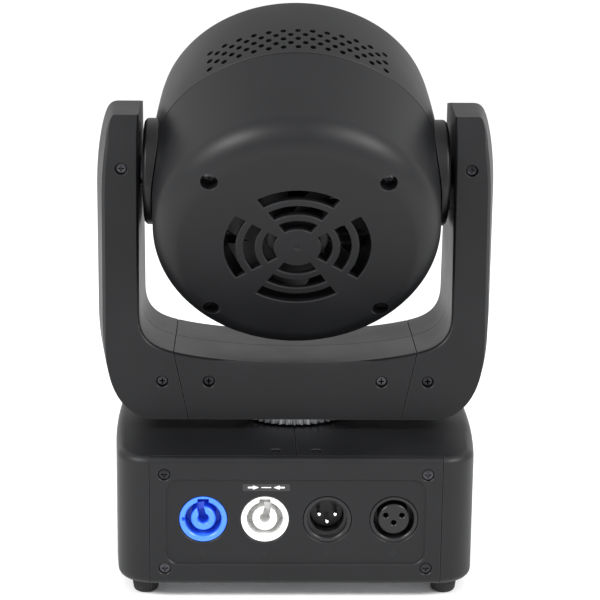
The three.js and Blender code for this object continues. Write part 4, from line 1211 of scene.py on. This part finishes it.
def front_cover():
    seam = 0.25
    lip = 66.4
    steps = 10
    spots = [HEAD_FRONT * i / steps for i in range(steps + 1)]
    outer = [(HEAD_RADIUS - 0.35, seam), (HEAD_RADIUS, seam + 0.35)]
    outer += [(barrel_radius(z), z) for z in spots[1:-1]]
    outer += [(HEAD_FRONT_RADIUS, HEAD_FRONT - 1.2), (HEAD_FRONT_RADIUS - 0.35, HEAD_FRONT - 0.35),
              (HEAD_FRONT_RADIUS - 1.2, HEAD_FRONT)]
    inner = [(lip, HEAD_FRONT), (lip, HEAD_FRONT - WALL), (HEAD_FRONT_RADIUS - WALL, HEAD_FRONT - WALL)]
    inner += [(barrel_radius(z) - WALL, z) for z in reversed(spots[1:-1])]
    inner += [(HEAD_RADIUS - WALL, seam)]
    body = turned(outer + inner, 256, closed=True)
    vents = []
    for row, z in enumerate(VENT_ROWS):
        count = 13 - row % 2
        for i in range(count):
            x = (i - (count - 1) / 2) * VENT_PITCH
            vents.append(moved(turned([(VENT_RADIUS, 40), (VENT_RADIUS, 82)], 20), seat_place(x, 0)
                               @ Matrix.Translation((0, -z, 0))))
    return cut(body, joined(*vents), tilt_hole())


def boss(side):
    """The round cheek on the side of the head, shaped to the barrel behind it."""
    radius = BOSS_RADIUS
    face = BOSS_FACE
    disc = turned([
        (radius, 60), (radius, face - 1.9), (radius - 0.35, face - 1.2), (radius - 1.5, face - 0.2),
        (radius - 2.2, face), (12.4, face), (12.0, face - 0.4), (9.6, face - 0.4), (9.6, face),
        (7.6, face), (7.4, 60),
    ], 160, closed=True)
    barrel = [(HEAD_BACK_RADIUS + 0.1, -HEAD_BACK), (HEAD_RADIUS + 0.05, 0)]
    barrel += [(barrel_radius(z) + 0.05, z) for z in (10, 20, 30, 40, HEAD_FRONT)]
    piece = cut(moved(disc, TO_X), turned(barrel, 192))
    return moved(piece, HALF_TURN) if side < 0 else piece


def tilt_shaft():
    """A hollow shaft with a flange inside the head and two grooves where it shows."""
    end = extent("tilt_shaft_right")[1].x
    groove = 0.35
    outer = [(13, 66.7), (13, 68.7), (TILT_SHAFT, 68.7)]
    for x in (76.9, 77.7):
        outer += [(TILT_SHAFT, x), (TILT_SHAFT - groove, x + 0.1), (TILT_SHAFT - groove, x + 0.4),
                  (TILT_SHAFT, x + 0.5)]
    outer += [(TILT_SHAFT, end - 0.5), (TILT_SHAFT - 0.5, end)]
    return moved(turned(outer + [(TILT_SHAFT - 2, end), (TILT_SHAFT - 2, 66.7)], 64, closed=True), TO_X)


def bezel():
    low, high = HEAD_FRONT - 9.2, HEAD_FRONT + 4.7
    profile = [(58, low), (66, low), (66, high - 1.2), (65.65, high - 0.35), (64.8, high),
               (61.5, high), (60.9, high - 0.3), (58.3, high - 4.1), (58, high - 4.7)]
    return turned(profile, 192, closed=True)


LENS_SPOTS = [(0.0, 0.0)] + [
    (LENS_CIRCLE * math.cos(i * math.pi / 3), LENS_CIRCLE * math.sin(i * math.pi / 3))
    for i in range(6)
]


def lens_plate():
    """A clear plate with seven domed lenses."""
    front = HEAD_FRONT - 5.8
    dome_radius = 20.0
    crown = front + 4
    plate = turned([(57, front - 3), (57, front - 0.3), (56.7, front)], 160)
    rim = LENS_RADIUS
    rise = 14
    start = math.degrees(math.acos(rim / dome_radius))
    dome = [(rim, front - 2)]
    dome += arc((0, crown - dome_radius), dome_radius, start, 86, rise)
    lenses = [shifted(turned(dome, 64), x, y) for x, y in LENS_SPOTS]
    return added(plate, *lenses)


def lens_tube():
    """A dark reflector cup between an LED and its lens."""
    foot = 17.6
    rim = HEAD_FRONT - 9.8
    return turned([(7, foot), (13.2, rim), (12.2, rim), (6, foot)], 64, closed=True)


def led_chip():
    outline = rounded_rectangle(-3.4, 3.4, -3.4, 3.4, 0.4, 3)
    return slab(outline, [(16.9, 0), (18.0, 0), (18.2, 0.2)])


def fan_rotor():
    """Seven swept blades round a hub."""
    blades = 7
    hub = turned([(15, -52.0), (15, -38.6), (14.4, -38)], 96)
    dome = turned([(12.5, -52.5), (14.5, -52.4), (15, -51.8), (15, -50)], 96)
    rings = []
    for i in range(9):
        share = i / 8
        radius = 13.5 + 22.5 * share
        sweep = 0.35 * share
        pitch = math.radians(48 - 22 * share)
        half = 8.6
        ring = []
        for along, across in ((-1, -0.5), (1, -0.5), (1, 0.5), (-1, 0.5)):
            side_shift = along * half * math.cos(pitch) - across * 1.1 * math.sin(pitch)
            height = along * half * math.sin(pitch) * 0.95 + across * 1.1 * math.cos(pitch)
            angle = sweep + side_shift / radius
            ring.append(Vector((radius * math.cos(angle), radius * math.sin(angle), -45.4 + height * 0.95)))
        rings.append(ring)
    blade = loft(rings)
    pitch = 2 * math.pi / blades
    turns = [moved(blade.copy(), Matrix.Rotation(pitch * i, 4, "Z")) for i in range(blades)]
    return added(hub, dome, *turns)


def fan_frame():
    half = 40
    back, front = -54.3, -34.0
    body = slab(rounded_rectangle(-half, half, -half, half, 6), edged(back, front, 0.6, 2))
    bore = turned([(38.6, back - 1), (38.6, back), (38, back + 1), (38, front + 1)], 128)
    reach = 35.8
    hole = turned([(2.2, back - 1), (2.2, front + 1)], 32)
    holes = [shifted(hole.copy(), x * reach, y * reach) for x, y in CORNERS]
    hub = turned([(14, front - 3), (14, front)], 64)
    struts = []
    for i in range(4):
        bar = block(10, 38.8, -1.8, 1.8, front - 2.6, front)
        struts.append(moved(bar, Matrix.Rotation(math.pi / 4 + i * math.pi / 2, 4, "Z")))
    return added(cut(body, bore, joined(*holes)), hub, *struts)


def add_head():
    show("head_rear_skin", rear_cover(), HEAD, "head", BLACK,
         ["head_cover_rear"], sharp=32)
    show("head_front_skin", front_cover(), HEAD, "head", BLACK,
         ["head_cover_front"], sharp=32)
    for name, side in (("left", -1), ("right", 1)):
        show(f"boss_{name}_skin", boss(side), HEAD, "head", BLACK,
             [f"head_boss_{name}"], sharp=38)
        turn = HALF_TURN if side < 0 else Matrix.Identity(4)
        show(f"tilt_shaft_{name}_skin", tilt_shaft(), HEAD @ turn, "head",
             SHAFT_STEEL, [f"tilt_shaft_{name}"])
    show("front_bezel_skin", bezel(), HEAD, "head", BLACK, ["front_bezel"], sharp=32)
    show("lens_plate_skin", lens_plate(), HEAD, "head", LENS, ["lens_plate"])
    for number, (x, y) in enumerate(LENS_SPOTS, 1):
        spot = HEAD @ Matrix.Translation((x, y, 0))
        show(f"lens_tube_{number}", lens_tube(), spot, "head", SOCKET_BLACK)
        show(f"led_{number}", led_chip(), spot, "head", LED_YELLOW)
    for number, (x, y) in enumerate(WELL_SPOTS, 1):
        floor = Matrix.Translation((x, y, -HEAD_BACK + 4.4))
        place = HEAD @ floor @ Matrix.Rotation(math.pi, 4, "X")
        add_screw(f"head_screw_{number}", place, "head", radius=3.1, height=1.5, length=3.5)
    show("fan_frame_skin", fan_frame(), HEAD, "head", FAN_PLASTIC, ["fan_frame"])
    show("fan_rotor_skin", fan_rotor(), HEAD, "fan", FAN_PLASTIC, ["fan_rotor"])


# ------------------------------------------------------------------ CAD nodes that stay

NODE_FINISH = {
    "base_plate": SHEET_STEEL, "control_board": BOARD_GREEN, "power_supply": BOARD_GREEN,
    "pan_motor": MOTOR_STEEL, "pan_bridge": SHEET_STEEL, "pan_bearing": BRIGHT,
    "pan_motor_pulley": ALUMINIUM, "pan_belt": BELT_RUBBER, "yoke_frame": SHEET_STEEL,
    "pan_shaft": ALUMINIUM, "pan_pulley": ALUMINIUM, "tilt_motor": MOTOR_STEEL,
    "tilt_bearing_left": BRIGHT, "tilt_bearing_right": BRIGHT, "tilt_motor_pulley": ALUMINIUM,
    "tilt_belt": BELT_RUBBER, "tilt_pulley": ALUMINIUM, "head_frame": SHEET_STEEL,
    "heat_sink": ALUMINIUM, "led_board": BOARD_WHITE,
}


def finish_nodes():
    for name, material in NODE_FINISH.items():
        node = frame["nodes"][name]
        node.data.materials.clear()
        node.data.materials.append(material)


# ----------------------------------------------------------------------- studio and camera


def flat_material(name, colour, roughness):
    material, tree, shader = new_material(name)
    shade = ramp(tree, noise(tree, 6, 2), [(0.3, colour), (0.7, tuple(c * 0.985 for c in colour))])
    tree.links.new(shade, shader.inputs["Base Color"])
    shader.inputs["Roughness"].default_value = roughness
    shader.inputs["Specular IOR Level"].default_value = 0.1
    return material


def add_floor():
    reach = 6.0
    mesh = mesh_of([(-reach, -reach, 0), (reach, -reach, 0), (reach, reach, 0), (-reach, reach, 0)],
                   [(0, 1, 2, 3)])
    mesh.materials.append(flat_material("floor_pale", (0.90, 0.90, 0.90), 0.7))
    floor = bpy.data.objects.new("floor", mesh)
    bpy.context.scene.collection.objects.link(floor)


def add_light(name, place, target, width, height, power):
    data = bpy.data.lights.new(name, "AREA")
    data.shape = "RECTANGLE"
    data.size = width
    data.size_y = height
    data.energy = power
    light = bpy.data.objects.new(name, data)
    light.location = place
    light.rotation_euler = (Vector(target) - Vector(place)).to_track_quat("-Z", "Y").to_euler()
    bpy.context.scene.collection.objects.link(light)


def add_studio():
    world = bpy.data.worlds.new("studio")
    world.use_nodes = True
    background = next(n for n in world.node_tree.nodes if n.type == "BACKGROUND")
    background.inputs["Color"].default_value = (1.0, 1.0, 1.0, 1)
    background.inputs["Strength"].default_value = 1.12
    bpy.context.scene.world = world
    centre = (0, 0, 0.16)
    add_light("soft_left", (0.80, 0.60, 0.80), centre, 0.45, 0.35, 14)
    add_light("soft_right", (-0.80, 0.60, 0.80), centre, 0.45, 0.35, 14)
    add_floor()


def add_camera():
    """The photograph's viewpoint: behind the light, a metre away and slightly above."""
    place = Vector((0.02284, 0.98686, 0.38439))
    right = Vector((-0.99967, 0.02338, 0.01040))
    up = Vector((0.00432, -0.24635, 0.96917))
    backwards = right.cross(up)
    data = bpy.data.cameras.new("camera")
    data.sensor_width = 36
    data.lens = 118.36
    data.clip_start = 0.05
    data.clip_end = 50
    camera = bpy.data.objects.new("camera", data)
    turn = Matrix((right, up, backwards)).transposed().to_4x4()
    camera.matrix_world = Matrix.Translation(place) @ turn
    bpy.context.scene.collection.objects.link(camera)
    bpy.context.scene.camera = camera


# --------------------------------------------------------------------------------- build

sockets = add_sockets()
button_spots = [middle(f"button_{name}") for name in BUTTON_NAMES]
display_low, display_high = extent("display")
frame_margin = Vector((2, 0, 2))
display = (display_low + frame_margin, display_high - frame_margin)
add_housing(sockets, button_spots, display)
add_markings(sockets)
add_controls(button_spots, display)
add_yoke()
show("pan_ring_skin", pan_ring(), STAND, "yoke", BRIGHT, ["pan_ring"], sharp=50)
add_head()
finish_nodes()
add_studio()
add_camera()
bpy.context.scene.view_settings.view_transform = "Standard"

bpy.context.view_layer.update()
